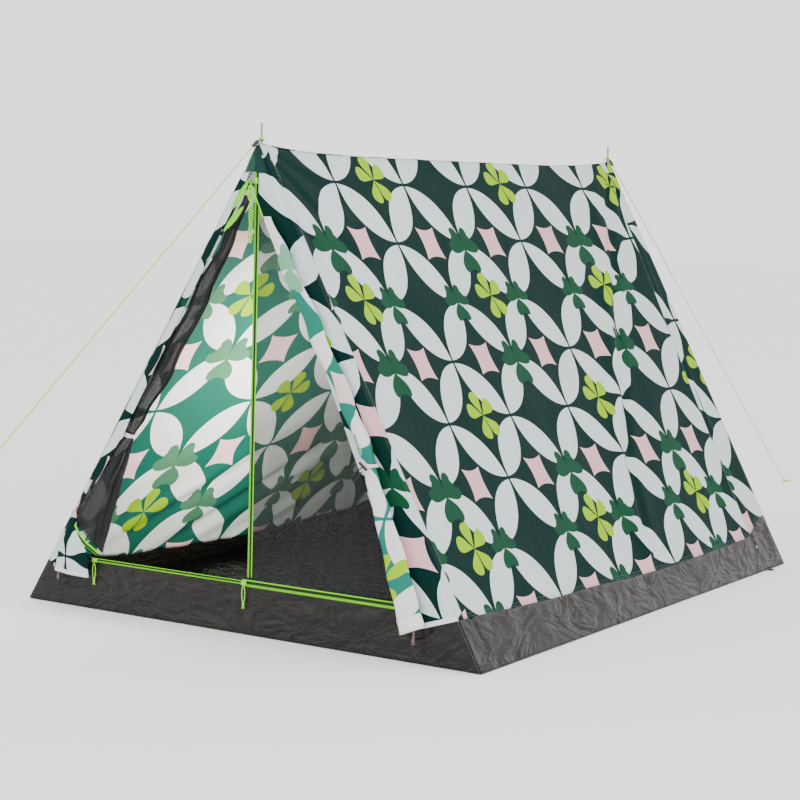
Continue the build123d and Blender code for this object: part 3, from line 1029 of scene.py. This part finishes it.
def make_tub_side(side):
    hand = "right" if side > 0 else "left"
    tub_top = TUB_TOP if side > 0 else LEFT_TUB_TOP
    inward = Vector((-side * APEX_Z, 0, -HALF_WIDTH)).normalized()

    def place(t, v):
        foot = at(tub_top, t * TUB_TOP_LENGTH)
        z = lerp(foot + 0.001, 0.0006, v)
        seam = wall_point(side, t, foot)
        y = lerp(front_y(z), rear_y(z), t)
        base = Vector((side * (side_x(z) - 0.0015), y, z))
        flat_seam = Vector((side * (side_x(foot) - 0.0012), lerp(front_y(foot), rear_y(foot), t), foot))
        follow = seam - flat_seam
        loose = math.sin(math.pi * v) * min(1, t * 30, (1 - t) * 30)
        push = loose * (0.0035 + crinkle(y, z * 1.6, 31.0 + side))
        fold = 0.004 * bump(y - FRONT_BASE_Y - 0.065 - 0.02 * v, 0.006) * (1 - v)
        return base + follow * (1 - v) + inward * max(push + fold - 0.001, -0.0004)

    def cloth(t, v):
        return t * FLOOR_LENGTH, v * 0.14

    piece = grid(f"{hand}_tub_cloth", 260, 16, place, cloth, [TUB], flip=side > 0)
    declare(piece, f"{hand}_tub_wall", "tub_cloth", flat=(1.95, 0.14), held="stretched",
            rests_on=[f"{hand}_wall_cloth"])


def make_sill():
    top_z = SILL + 0.006

    def place(u, v):
        z = lerp(top_z, 0.0006, v)
        wide = side_x(z) - 0.002
        x = lerp(-wide, wide, u)
        edge = min(1, u * 25, (1 - u) * 25)
        push = edge * math.sin(math.pi * min(v * 1.05, 1))
        push *= 0.002 + crinkle(x * 0.8, z * 1.8, 44.0, 0.006)
        return Vector((x, front_y(z) + 0.0008 + max(push, -0.0009), z))

    def cloth(u, v):
        return u * 1.5, v * 0.13

    piece = grid("front_sill_cloth", 220, 20, place, cloth, [TUB], flip=True)
    heights = [lerp(0.124, 0.004, k / 20) for k in range(21)]
    lines = []
    for side in (-1, 1):
        lines.append([Vector((side * (side_x(z) - 0.006), front_y(z) + 0.0002, z)) for z in heights])
    seams = stitches("sill_corner_stitching", lines, Vector((0, -1, 0)), material=PALE_THREAD)
    declare(piece, "front_sill", "tub_cloth", flat=(1.49, 0.135), held="stretched",
            rests_on=["groundsheet_cloth"], with_pieces=[seams])


def make_rear_tub():
    def place(u, v):
        z = lerp(REAR_TUB + 0.001, 0.0006, v)
        wide = side_x(z) - 0.002
        x = lerp(-wide, wide, u)
        edge = min(1, u * 25, (1 - u) * 25)
        push = edge * math.sin(math.pi * v) * (0.002 + crinkle(x, z * 1.8, 52.0, 0.005))
        return Vector((x, rear_y(z) - 0.0008 - max(push, -0.0009), z))

    def cloth(u, v):
        return u * 1.5, v * 0.15

    piece = grid("rear_tub_cloth", 160, 16, place, cloth, [TUB])
    declare(piece, "rear_tub_wall", "tub_cloth", flat=(1.49, 0.15), held="stretched",
            rests_on=["groundsheet_cloth"])


def make_floor():
    def place(u, v):
        y = lerp(front_y(0) + 0.0012, rear_y(0) - 0.0012, v)
        x = lerp(-1, 1, u) * (side_x(0.004) - 0.0012)
        edge = min(1, u * 20, (1 - u) * 20, v * 20, (1 - v) * 20)
        lift = 0.004 * (1 - abs(wave(x * 4, y * 4, 61.0)) * 2)
        lift += 0.0022 * (1 - abs(wave(x * 15, y * 15, 63.0)) * 2)
        rise = sum(0.004 * smooth((abs(2 * share - 1) - 0.99) / 0.01) for share in (u, v))
        return Vector((x, y, 0.0004 + edge * max(lift, 0) + rise))

    def cloth(u, v):
        return u * 1.5, v * 1.94

    piece = grid("groundsheet_cloth", 200, 200, place, cloth, [FLOOR], thick=0.0003)
    declare(piece, "groundsheet_floor", "tub_cloth", flat=(1.49, 1.935), held="laid",
            rests_on=["ground"])


# ---- Front strips and hood ------------------------------------------------------------------
def between(left, right, u, v):
    """A point between two edges given by (x, z) stations, v down and u across."""
    a = Vector(along(left, v))
    b = Vector(along(right, v))
    return a.lerp(b, u)


def resample(points, count):
    """The stations of a polyline at even steps of its length."""
    line = [Vector(p) for p in points]
    lengths = [(b - a).length for a, b in zip(line, line[1:])]
    total = sum(lengths)
    made = []
    for k in range(count + 1):
        rest = total * k / count
        i = 0
        while i < len(lengths) - 1 and rest > lengths[i]:
            rest -= lengths[i]
            i += 1
        made.append(line[i].lerp(line[i + 1], min(rest / lengths[i], 1.0)))
    return made


def make_right_strip():
    inner = [(0.008, 1.262), (0.010, 1.130), (0.036, 1.085), (0.105, 1.000), (0.553, 0.084)]
    inner = resample(inner, 60)
    outer = resample([(side_x(1.262) - 0.0012, 1.262), (side_x(0.124) - 0.0012, 0.124)], 60)

    def place(u, v):
        x, z = between(inner, outer, u, v)
        loose = (1 - u) * smooth(v * 1.4)
        depth = -0.0035 + 0.0034 * smooth((u - 0.8) / 0.2)
        depth -= 0.004 * loose * (0.5 + wave(z * 6, u, 71.0))
        return Vector((x, front_y(z) + depth, z))

    def cloth(u, v):
        x, z = between(inner, outer, u, v)
        return strip_cloth(side_x(z) - x, z)

    piece = grid("right_front_strip", 14, 110, place, cloth, [OUTER, LINING], flip=True)
    declare(piece, "right_front_band", "printed_cloth", flat=(0.12, 1.31), held="hung",
            rests_on=["front_right_pole_sleeve"], area=0.075, with_pieces=[strip_hem(place)])


def strip_hem(strip):
    """A narrow folded hem that stands a little proud of the strip's lower edge."""
    def place(u, v):
        point = strip(u, 0.990).lerp(strip(u, 1.0), v)
        return point + Vector((0, -0.0009 - 0.0004 * math.sin(math.pi * v), 0))

    def cloth(u, v):
        return u * 0.1, v * 0.015

    return grid("right_strip_hem", 12, 4, place, cloth, [HEM], flip=True, thick=0.0008)


def make_left_strip():
    inner = [(-0.010, 1.262), (-0.030, 1.200), (-0.420, 0.500), (-0.575, 0.250), (-0.656, 0.100)]
    inner = resample(inner, 60)
    outer = resample([(-side_x(1.262) + 0.001, 1.262), (-0.677, 0.124)], 60)

    def place(u, v):
        x, z = between(inner, outer, u, v)
        bow = 0.004 * math.sin(math.pi * v)
        depth = -0.0035 + 0.0034 * smooth((u - 0.8) / 0.2) - 0.003 * (1 - u) * wave(z * 5, u, 75.0)
        return Vector((x + bow * u, front_y(z) + depth, z))

    def cloth(u, v):
        x, z = between(inner, outer, u, v)
        return 0.62 + (side_x(z) + x), (APEX_Z - z) * ALONG_SLOPE - 0.02

    piece = grid("left_front_strip", 10, 110, place, cloth, [OUTER, LINING])
    declare(piece, "left_front_band", "printed_cloth", flat=(0.06, 1.31), held="hung",
            rests_on=["front_left_pole_sleeve"], area=0.038)


def make_hood():
    left = resample([(-0.006, 1.288), (-0.030, 1.245), (-0.044, 1.214)], 12)
    right = resample([(0.006, 1.288), (0.028, 1.245), (0.040, 1.222)], 12)

    def place(u, v):
        x, z = between(left, right, u, v)
        wide = abs(2 * u - 1)
        depth = -0.0055 + 0.004 * wide**2 - 0.0015 * math.sin(9 * u) * v
        return Vector((x, front_y(z) + depth, z + 0.004 * math.sin(6 * u) * v))

    def cloth(u, v):
        return u, v

    piece = grid("apex_hood_cloth", 14, 14, place, cloth, [HOOD], flip=True)
    declare(piece, "front_hood", "printed_cloth", flat=(0.09, 0.085), held="hung",
            rests_on=["front_apex_elbow"], area=0.0038)


# ---- Doors ----------------------------------------------------------------------------------
def stations(table):
    """Reads (z, x, depth, half width, half depth) stations, top first, as smooth curves."""
    def read(v):
        z = lerp(table[0][0], table[-1][0], v)
        rows = [[-row[0], *row[1:]] for row in table]
        key = -z
        for a, b in zip(rows, rows[1:]):
            if key <= b[0] + 1e-9:
                f = smooth((key - a[0]) / (b[0] - a[0])) * 0.5 + 0.5 * (key - a[0]) / (b[0] - a[0])
                return [z] + [lerp(p, q, f) for p, q in zip(a[1:], b[1:])]
        return [z, *rows[-1][1:]]
    return read


RIGHT_ROLL = [
    (1.104, 0.048, -0.013, 0.011, 0.006),
    (1.000, 0.110, -0.016, 0.022, 0.010),
    (0.816, 0.220, -0.019, 0.026, 0.013),
    (0.640, 0.325, -0.020, 0.026, 0.014),
    (0.530, 0.388, -0.020, 0.025, 0.014),
    (0.488, 0.404, -0.020, 0.021, 0.012),
    (0.450, 0.417, -0.020, 0.024, 0.013),
    (0.380, 0.447, -0.020, 0.029, 0.015),
    (0.240, 0.497, -0.020, 0.035, 0.016),
    (0.130, 0.535, -0.020, 0.038, 0.015),
    (0.083, 0.552, -0.020, 0.040, 0.014),
]


RIGHT_ROLL_START = math.radians(28)
RIGHT_ROLL_TURNS = 2.2


def make_right_roll():
    """The right outer door: rolled lining outwards, and looser below its tie."""
    read = stations(RIGHT_ROLL)

    def place(u, v):
        z, x, depth, wide, deep = read(v)
        angle = RIGHT_ROLL_START + 2 * math.pi * RIGHT_ROLL_TURNS * u
        growth = lerp(0.50, 1.0, u)
        crush = 1 + 0.16 * wave(math.cos(angle) * 1.3 + z * 4, math.sin(angle) * 1.3, 81.0)
        crush += 0.05 * math.sin(3 * angle + 9 * z)
        px = x + wide * growth * crush * math.cos(angle)
        slant = 0.42 * (px - x) * smooth((0.45 - z) / 0.3)
        py = front_y(z) + depth + deep * growth * crush * math.sin(angle)
        return Vector((px, py, z + slant))

    def cloth(u, v):
        s = (APEX_Z - read(v)[0]) * ALONG_SLOPE
        return 0.520 + 0.36 * (u - 0.80) + 0.5 * (s - 1.088), s + 0.3115

    piece = grid("right_door_cloth", 96, 150, place, cloth, [LINING, LINING])
    hem = hem_tube("right_door_hem", place, 0.965, 60, 0.0011)
    declare(piece, "right_door_roll", "lining_cloth", flat=(0.58, 1.14), held="gathered",
            rests_on=["right_door_tie_band"], area=0.32, with_pieces=[hem, edge_tape()])


def hem_tube(name, place, start, count, proud):
    """The door's hem: a second layer close over its lower edge, from a share start down."""
    def lifted(u, v):
        down = lerp(start, 1.0, v)
        here = place(u, down)
        ahead = place(min(u + 0.01, 1), down)
        back = place(max(u - 0.01, 0), down)
        tangent = ahead - back
        out = Vector((tangent.y, -tangent.x, 0)).normalized()
        return here + out * proud

    def cloth(u, v):
        return u * 0.3, v * 0.03

    return grid(name, count, 4, lifted, cloth, [HEM], thick=0.0006)


def edge_tape():
    """The door's lime edge tape, which pulls tight from the apex to the roll."""
    start = Vector((-0.014, front_y(1.2) - 0.016, 1.200))
    end = Vector((0.040, front_y(1.10) - 0.020, 1.100))

    def place(u, v):
        centre = start.lerp(end, v)
        return centre + Vector((0.0026 * (u - 0.5), 0, 0.0016 * (u - 0.5)))

    def cloth(u, v):
        return lerp(-0.9, -0.5, u), v * 0.12

    return grid("right_door_edge_tape", 2, 12, place, cloth, [GUY_CORD], flip=True, thick=0.0008)


LEFT_DOOR = [
    (0.360, -0.530, -0.006, 0.006, 0.004),
    (0.262, -0.578, -0.010, 0.008, 0.005),
    (0.230, -0.585, -0.016, 0.013, 0.006),
    (0.209, -0.582, -0.021, 0.024, 0.007),
    (0.184, -0.577, -0.026, 0.042, 0.008),
    (0.160, -0.573, -0.024, 0.052, 0.008),
    (0.093, -0.577, -0.022, 0.059, 0.009),
]


def make_left_door():
    """The left outer door, drawn in along the pole, its hem loose over the sill."""
    read = stations(LEFT_DOOR)

    def turned(u):
        return math.radians(20) + 2 * math.pi * 1.15 * u

    def place(u, v):
        z, x, depth, wide, deep = read(v)
        angle = turned(u)
        growth = lerp(0.75, 1.0, u) * (1 + 0.13 * math.sin(4 * angle + 14 * z))
        px = x + wide * growth * math.cos(angle)
        py = front_y(z) + depth + deep * growth * math.sin(angle)
        return Vector((px, py, z - 0.06 * (px - x)))

    def cloth(u, v):
        z, x, _, wide, _ = read(v)
        px = x + wide * math.cos(turned(u))
        return 0.345 + (px + 0.590) * 1.3, (0.142 - z) * 1.3 + 0.849

    piece = grid("left_door_cloth", 60, 60, place, cloth, [OUTER, OUTER])
    hem = hem_tube("left_door_hem", place, 0.955, 50, 0.0010)
    declare(piece, "left_door_gather", "printed_cloth", flat=(0.30, 0.27), held="gathered",
            rests_on=["left_front_strip"], area=0.042, with_pieces=[hem])


LEFT_MESH = [
    (1.158, -0.038, 0.014, 0.010, 0.006),
    (1.050, -0.094, 0.015, 0.018, 0.009),
    (0.890, -0.182, 0.018, 0.028, 0.011),
    (0.680, -0.302, 0.018, 0.034, 0.012),
    (0.545, -0.386, 0.019, 0.026, 0.012),
    (0.492, -0.416, 0.020, 0.016, 0.010),
    (0.440, -0.446, 0.014, 0.035, 0.011),
    (0.345, -0.490, 0.001, 0.058, 0.010),
    (0.250, -0.522, -0.008, 0.066, 0.009),
    (0.162, -0.527, -0.009, 0.049, 0.007),
]


def make_left_mesh():
    """The left half of the net door, gathered to the pole and tied."""
    read = stations(LEFT_MESH)

    def place(u, v):
        z, x, depth, wide, deep = read(v)
        angle = 2 * math.pi * 1.08 * u
        pleat = math.sin(11 * angle + 3 * math.sin(4 * z)) * 0.16
        pleat += math.sin(5 * angle + 6 * z) * 0.12
        size = 0.86 + pleat
        px = x + wide * size * math.cos(angle)
        z += 0.76 * max(-0.478 - px, 0) * smooth((0.36 - z) / 0.2)
        px = max(px, 0.022 - side_x(z))
        py = front_y(z) + depth + deep * size * math.sin(angle)
        return Vector((px, py, z))

    def cloth(u, v):
        return u * 0.45, APEX_Z - read(v)[0]

    piece = grid("left_mesh_cloth", 150, 150, place, cloth, [NET_FOLDED], thick=0)
    declare(piece, "left_mesh_gather", "mosquito_net", flat=(0.42, 1.05), held="gathered",
            rests_on=["left_mesh_tie_band"], area=0.25, with_pieces=[lime_end_band(), lime_leaves()])


def lime_end_band():
    """The zip tape along the gathered net's lower edge, folded round the bundle."""
    path = spline([
        Vector((-0.572, front_y(0.230) - 0.020, 0.230)),
        Vector((-0.557, front_y(0.210) - 0.020, 0.209)),
        Vector((-0.530, front_y(0.185) - 0.019, 0.184)),
        Vector((-0.502, front_y(0.165) - 0.014, 0.166)),
        Vector((-0.490, front_y(0.155) - 0.010, 0.156)),
    ], 10)

    def place(u, v):
        reach = v * (len(path) - 1)
        i = min(int(reach), len(path) - 2)
        point = path[i].lerp(path[i + 1], reach - i)
        step = (path[i + 1] - path[i]).normalized()
        wide = step.cross(Vector((0, -1, 0))).normalized()
        return point + wide * 0.013 * (u - 0.5) + Vector((0, -0.0015 * math.sin(math.pi * u), 0))

    def cloth(u, v):
        return lerp(-1, 1, u), v * 0.13

    return grid("left_mesh_lime_band", 6, 40, place, cloth, [ZIP], thick=0.0009)


def lime_leaves():
    """Two folds of lime tape that stand out of the gathered net at its top."""
    made = []
    folds = (
        (Vector((-0.022, 0, 1.196)), Vector((-0.072, 0, 1.120))),
        (Vector((-0.036, 0, 1.128)), Vector((-0.098, 0, 1.062))),
    )
    for index, (start, end) in enumerate(folds):
        step = (end - start).normalized()
        wide = Vector((step.z, 0, -step.x))

        def place(u, v, start=start, end=end, wide=wide):
            point = start.lerp(end, v)
            size = 0.017 * math.sin(math.pi * lerp(0.06, 0.97, v)) ** 0.8
            x, z = (point + wide * size * (u - 0.5)).xz
            return Vector((x, front_y(z) - 0.007 - 0.003 * math.sin(math.pi * u), z))

        def cloth(u, v):
            return lerp(-1, -0.45, u), v * 0.08

        made.append(grid(f"lime_leaf_{index}", 6, 16, place, cloth, [ZIP], thick=0.0008))
    return join(made, "left_mesh_lime_folds")


MESH_TOP = 1.200
MESH_LOW = 0.150
HINGE_INSET = 0.032
TAPE_HALF = 0.007


def make_mesh_door():
    def place(u, v):
        z = lerp(MESH_TOP, MESH_LOW, v)
        x = lerp(zip_x(z) + TAPE_HALF, side_x(z) - HINGE_INSET, u)
        slack = math.sin(math.pi * u) * math.sin(math.pi * v)
        ripple = 0.006 * wave(x * 12, z * 2.0, 91.0) + 0.012 * wave(x * 4, z * 1.5, 93.0)
        return Vector((x, front_y(z) + 0.0046 + slack * (0.012 + ripple), z))

    def cloth(u, v):
        z = lerp(MESH_TOP, MESH_LOW, v)
        return lerp(zip_x(z), side_x(z), u), z

    piece = grid("right_mesh_cloth", 60, 90, place, cloth, [NET], flip=True, body="mesh_door", thick=0)
    declare(piece, "right_mesh_door", "mosquito_net", flat=(0.60, 1.06), held="hung",
            rests_on=["centre_zip_strip"], area=0.32, with_pieces=[mesh_edge_binding()])


def mesh_edge_binding():
    """A pale binding beside the zip, where the net is sewn to its tape."""
    def place(u, v):
        z = lerp(MESH_TOP + 0.018, MESH_LOW + 0.002, v)
        return Vector((zip_x(z) + TAPE_HALF - 0.0005 + 0.0015 * u, front_y(z) + 0.0030, z))

    def cloth(u, v):
        return 0.9 + 0.09 * u, v

    return grid("right_mesh_binding", 2, 60, place, cloth, [ZIP], flip=True, body="mesh_door",
                thick=0.0008)


# ---- Zips -----------------------------------------------------------------------------------
# A zip tape across its width, with the coil beside its middle: share of half its width, height
ZIP_PROFILE = [
    (-1.0, 0.0),
    (-0.26, 0.0),
    (-0.24, 0.0007),
    (0.0, 0.0012),
    (0.22, 0.0013),
    (0.44, 0.0012),
    (0.66, 0.0007),
    (0.70, 0.0),
    (1.0, 0.0),
]
ZIP_TOOTH = 0.003
OUTWARD = Vector((0, -1, 0))


def zip_strip(name, start, end, across, half, body, node):
    """A tape with a raised coil: start to end, half wide."""
    last = len(ZIP_PROFILE) - 1
    length = (end - start).length

    def place(u, v):
        side, rise = ZIP_PROFILE[round(u * last)]
        ridge = 0.0004 * math.sin(v * length / ZIP_TOOTH * math.pi) if rise > 0 else 0
        return start.lerp(end, v) + across * half * side + OUTWARD * (rise + ridge)

    def cloth(u, v):
        return ZIP_PROFILE[round(u * last)][0], v * length

    rows = int(length / ZIP_TOOTH)
    piece = grid(name, last, rows, place, cloth, [ZIP], flip=True, body=body, thick=0.0008)
    declare(piece, node, "zip_lime", flat=(2 * half, length), held="stretched", rests_on=[body])


CENTRE_ZIP = (1.225, 0.152)  # from, down to
SILL_ZIP_Z = 0.137


def make_zips():
    top, low = (Vector((zip_x(z), front_y(z) + 0.0036, z)) for z in CENTRE_ZIP)
    zip_strip("centre_zip_strip", top, low, Vector((1, 0, 0)), TAPE_HALF, "mesh_door", "centre_zip_tape")
    y = front_y(SILL_ZIP_Z) - 0.0003
    for hand, a, b, half in (("left", -0.520, 0.005, 0.0050), ("right", 0.0053, 0.610, 0.009)):
        start, end = Vector((a, y, SILL_ZIP_Z)), Vector((b, y, SILL_ZIP_Z))
        zip_strip(f"{hand}_sill_zip_strip", start, end, Vector((0, 0.04, 1)), half, "tent",
                  f"{hand}_sill_zip_tape")


PULL_CORD = 0.0013
PULL_WIDTH = 0.0066
PULL_TAIL = 0.012
SILL_PULL = 0.066


def cord_loop_pull(name, pivot, body, node):
    """A loop of cord through a slider's eye, knotted below, with two short tails."""
    drop = SILL_PULL - PULL_TAIL - 0.008

    def round_loop(angle):
        x = PULL_WIDTH * math.sin(angle) * (0.75 + 0.25 * math.cos(angle))
        z = -drop / 2 + drop / 2 * math.cos(angle)
        return pivot + Vector((x, -0.0004 * math.sin(2 * angle), z))

    loop = tube_mesh(f"{name}_ring", circle(32, round_loop), PULL_CORD, LIME_CORD, body, closed=True)
    knot_at = pivot + Vector((0, 0, -drop - 0.002))
    axis = Vector((0.2, 0, 1))
    knot = wound_knot(f"{name}_knot", knot_at, axis, 0.0022, PULL_CORD * 1.05, LIME_CORD, body)
    made = [loop, knot]
    for side in (-1, 1):
        points = spline([
            knot_at,
            knot_at + Vector((side * 0.002, 0, -0.006)),
            knot_at + Vector((side * 0.0035, -0.0005, -PULL_TAIL)),
        ], 5)
        made.append(tube_mesh(f"{name}_tail_{side + 1}", points, PULL_CORD, LIME_CORD, body))
    piece = join(made, name)
    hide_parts(node)


def make_pulls():
    for hand, x in (("left", -0.505), ("right", 0.015)):
        pivot = Vector((x, front_y(SILL_ZIP_Z) - 0.0075, 0.1284))
        cord_loop_pull(f"{hand}_sill_pull_cord", pivot, f"{hand}_sill_pull", f"{hand}_sill_zip_pull")
    z = 1.196 - 0.0102
    chain_pull(Vector((zip_x(z), front_y(z) - 0.0195, z)))


CHAIN_LOOPS = 9
CHAIN_LENGTH = 0.140


def chain_pull(pivot):
    """The long centre pull: cord worked into a chain of loops, with a loose loop at its top."""
    body = "centre_pull"
    made = []
    for strand in range(2):
        points = []
        for k in range(CHAIN_LOOPS * 8 + 1):
            share = k / (CHAIN_LOOPS * 8)
            angle = 2 * math.pi * k / 8 + strand * math.pi
            sway = 0.006 + 0.0012 * math.sin(5 * share * math.pi)
            x = sway * math.cos(angle) * 0.9 - 0.003 * share
            points.append(pivot + Vector((x, 0.0030 * math.sin(angle), -0.006 - CHAIN_LENGTH * share)))
        made.append(tube_mesh(f"chain_strand_{strand}", points, 0.0019, LIME_CORD, body, sides=7))

    def round_loop(angle):
        z = -0.022 + 0.019 * math.cos(angle)
        return pivot + Vector((0.0065 * math.sin(angle) - 0.002, -0.005, z))

    made.append(tube_mesh("chain_loop", circle(24, round_loop), 0.0016, LIME_CORD, body, closed=True))
    knot_at = pivot + Vector((-0.003, 0, -0.148))
    axis = Vector((0.3, 0, 1))
    made.append(wound_knot("chain_end_knot", knot_at, axis, 0.0028, 0.0016, LIME_CORD, body))
    piece = join(made, "centre_pull_chain")
    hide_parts("centre_zip_pull")


# ---- Ties, hooks and elastics ---------------------------------------------------------------
RIGHT_TIE_Z = 0.486
LEFT_TIE_Z = 0.492


def tie_band(name, centre, wide, deep, tall, node, bow, pole):
    """A soft strap round a gathered door, creased where it is pulled tight."""
    def place(u, v):
        angle = 2 * math.pi * u
        crease = 0.0006 * math.sin(7 * angle + 4 * v)
        x = (wide + crease) * math.cos(angle)
        y = (deep + crease) * math.sin(angle)
        z = tall * (0.5 - v) * (1 + 0.2 * math.sin(3 * angle)) + bow * math.cos(angle)
        return centre + Vector((x, y, z))

    def cloth(u, v):
        return v * 0.012, u * 0.12

    piece = grid(name, 48, 6, place, cloth, [PINK_TIE], wrap=True, thick=0.0008)
    piece.modifiers["thickness"].offset = 1
    round_it = 2 * math.pi * math.sqrt((wide**2 + deep**2) / 2)
    declare(piece, node, "tie_cloth", flat=(tall, round_it), held="gathered", rests_on=[pole])


def make_ties():
    centre = Vector((0.405, front_y(RIGHT_TIE_Z) - 0.020, RIGHT_TIE_Z))
    tie_band("right_door_tie_band", centre, 0.0255, 0.0160, 0.010, "right_door_tie", 0.003,
             "front_right_pole_sleeve")
    centre = Vector((-0.416, front_y(LEFT_TIE_Z) + 0.020, LEFT_TIE_Z))
    tie_band("left_mesh_tie_band", centre, 0.0178, 0.0118, 0.011, "left_mesh_tie", -0.003,
             "front_left_pole_sleeve")
    toggle_loop()
    elastics()


def toggle_loop():
    """The elastic loop behind the toggle, its end hanging free."""
    top = Vector((0.396, front_y(RIGHT_TIE_Z) - 0.0405, RIGHT_TIE_Z - 0.004))
    path = spline([
        top,
        top + Vector((-0.012, -0.001, -0.008)),
        top + Vector((-0.026, -0.001, -0.022)),
        top + Vector((-0.030, -0.001, -0.034)),
        top + Vector((-0.022, -0.001, -0.036)),
        top + Vector((-0.010, -0.001, -0.024)),
        top + Vector((0.000, -0.0005, -0.010)),
    ], 6)
    loop = tube_mesh("toggle_cord_loop", path, 0.0017, BLACK, "door_toggle", sides=8)


def elastics():
    """The short elastics between the door hems and their hooks."""
    made = []
    for x, depth, low, high in ((0.560, -0.020, 0.0575, 0.088), (-0.628, -0.015, 0.0775, 0.100)):
        y = front_y(low) + depth

        def place(u, v, x=x, y=y, low=low, high=high):
            across = (u - 0.5) * (0.009 - 0.003 * math.sin(math.pi * v))
            return Vector((x + across, y - 0.0006 + 0.001 * math.sin(5 * v), lerp(high, low, v)))

        def cloth(u, v):
            return u * 0.009, v * 0.03

        def round_hook(angle, x=x, y=y, low=low):
            z = low - 0.0035 + 0.003 * math.sin(angle)
            return Vector((x + 0.0045 * math.cos(angle), y - 0.001, z))

        made.append(grid("elastic_piece", 4, 10, place, cloth, [ELASTIC], flip=True, thick=0.0012))
        made.append(tube_mesh("elastic_ring", circle(20, round_hook), 0.0011, ELASTIC, closed=True))
    piece = join(made, "door_elastic_straps")
    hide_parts("door_elastics")


# ---- Carried-over CAD nodes -----------------------------------------------------------------
FINISHES = {
    "lower_pole": COATED_STEEL,
    "upper_pole": COATED_STEEL,
    "apex_elbow": STEEL,
    "apex_spike": STEEL,
    "pole_sleeve": OUTER,
    "guy_runner": BLACK,
    "pole_ferrules": STEEL,
    "shock_cords": BLACK,
    "foot_caps": RUBBER,
    "apex_tabs": BLACK,
    "zip_slider": LIME_METAL,
    "door_toggle": BLACK,
    "door_hook": BLACK,
    "rear_peg_loops": BLACK,
}


def finish_nodes():
    """Gives each CAD node that stays in view its finish."""
    for name, node in NODES.items():
        for ending, material in FINISHES.items():
            if name.endswith(ending):
                node.data.materials.clear()
                node.data.materials.append(material)
                if material is OUTER:
                    box_cloth(node)


def box_cloth(node):
    """A flat-cloth map for a printed tube: along it and round it."""
    layer = node.data.uv_layers.get("cloth") or node.data.uv_layers.new(name="cloth")
    for loop in node.data.loops:
        co = node.data.vertices[loop.vertex_index].co
        layer.data[loop.index].uv = (co.y - FRONT_BASE_Y + 0.395, (APEX_Z - co.z) * ALONG_SLOPE - 0.132)


# ---- The scene ------------------------------------------------------------------------------
make_camera()
make_studio()
make_guys()
for wall_side in (-1, 1):
    make_wall(wall_side)
    make_tub_side(wall_side)
make_rear_wall()
make_floor()
make_sill()
make_rear_tub()
make_right_strip()
make_left_strip()
make_hood()
make_right_roll()
make_left_door()
make_left_mesh()
make_mesh_door()
make_zips()
make_pulls()
make_ties()
finish_nodes()
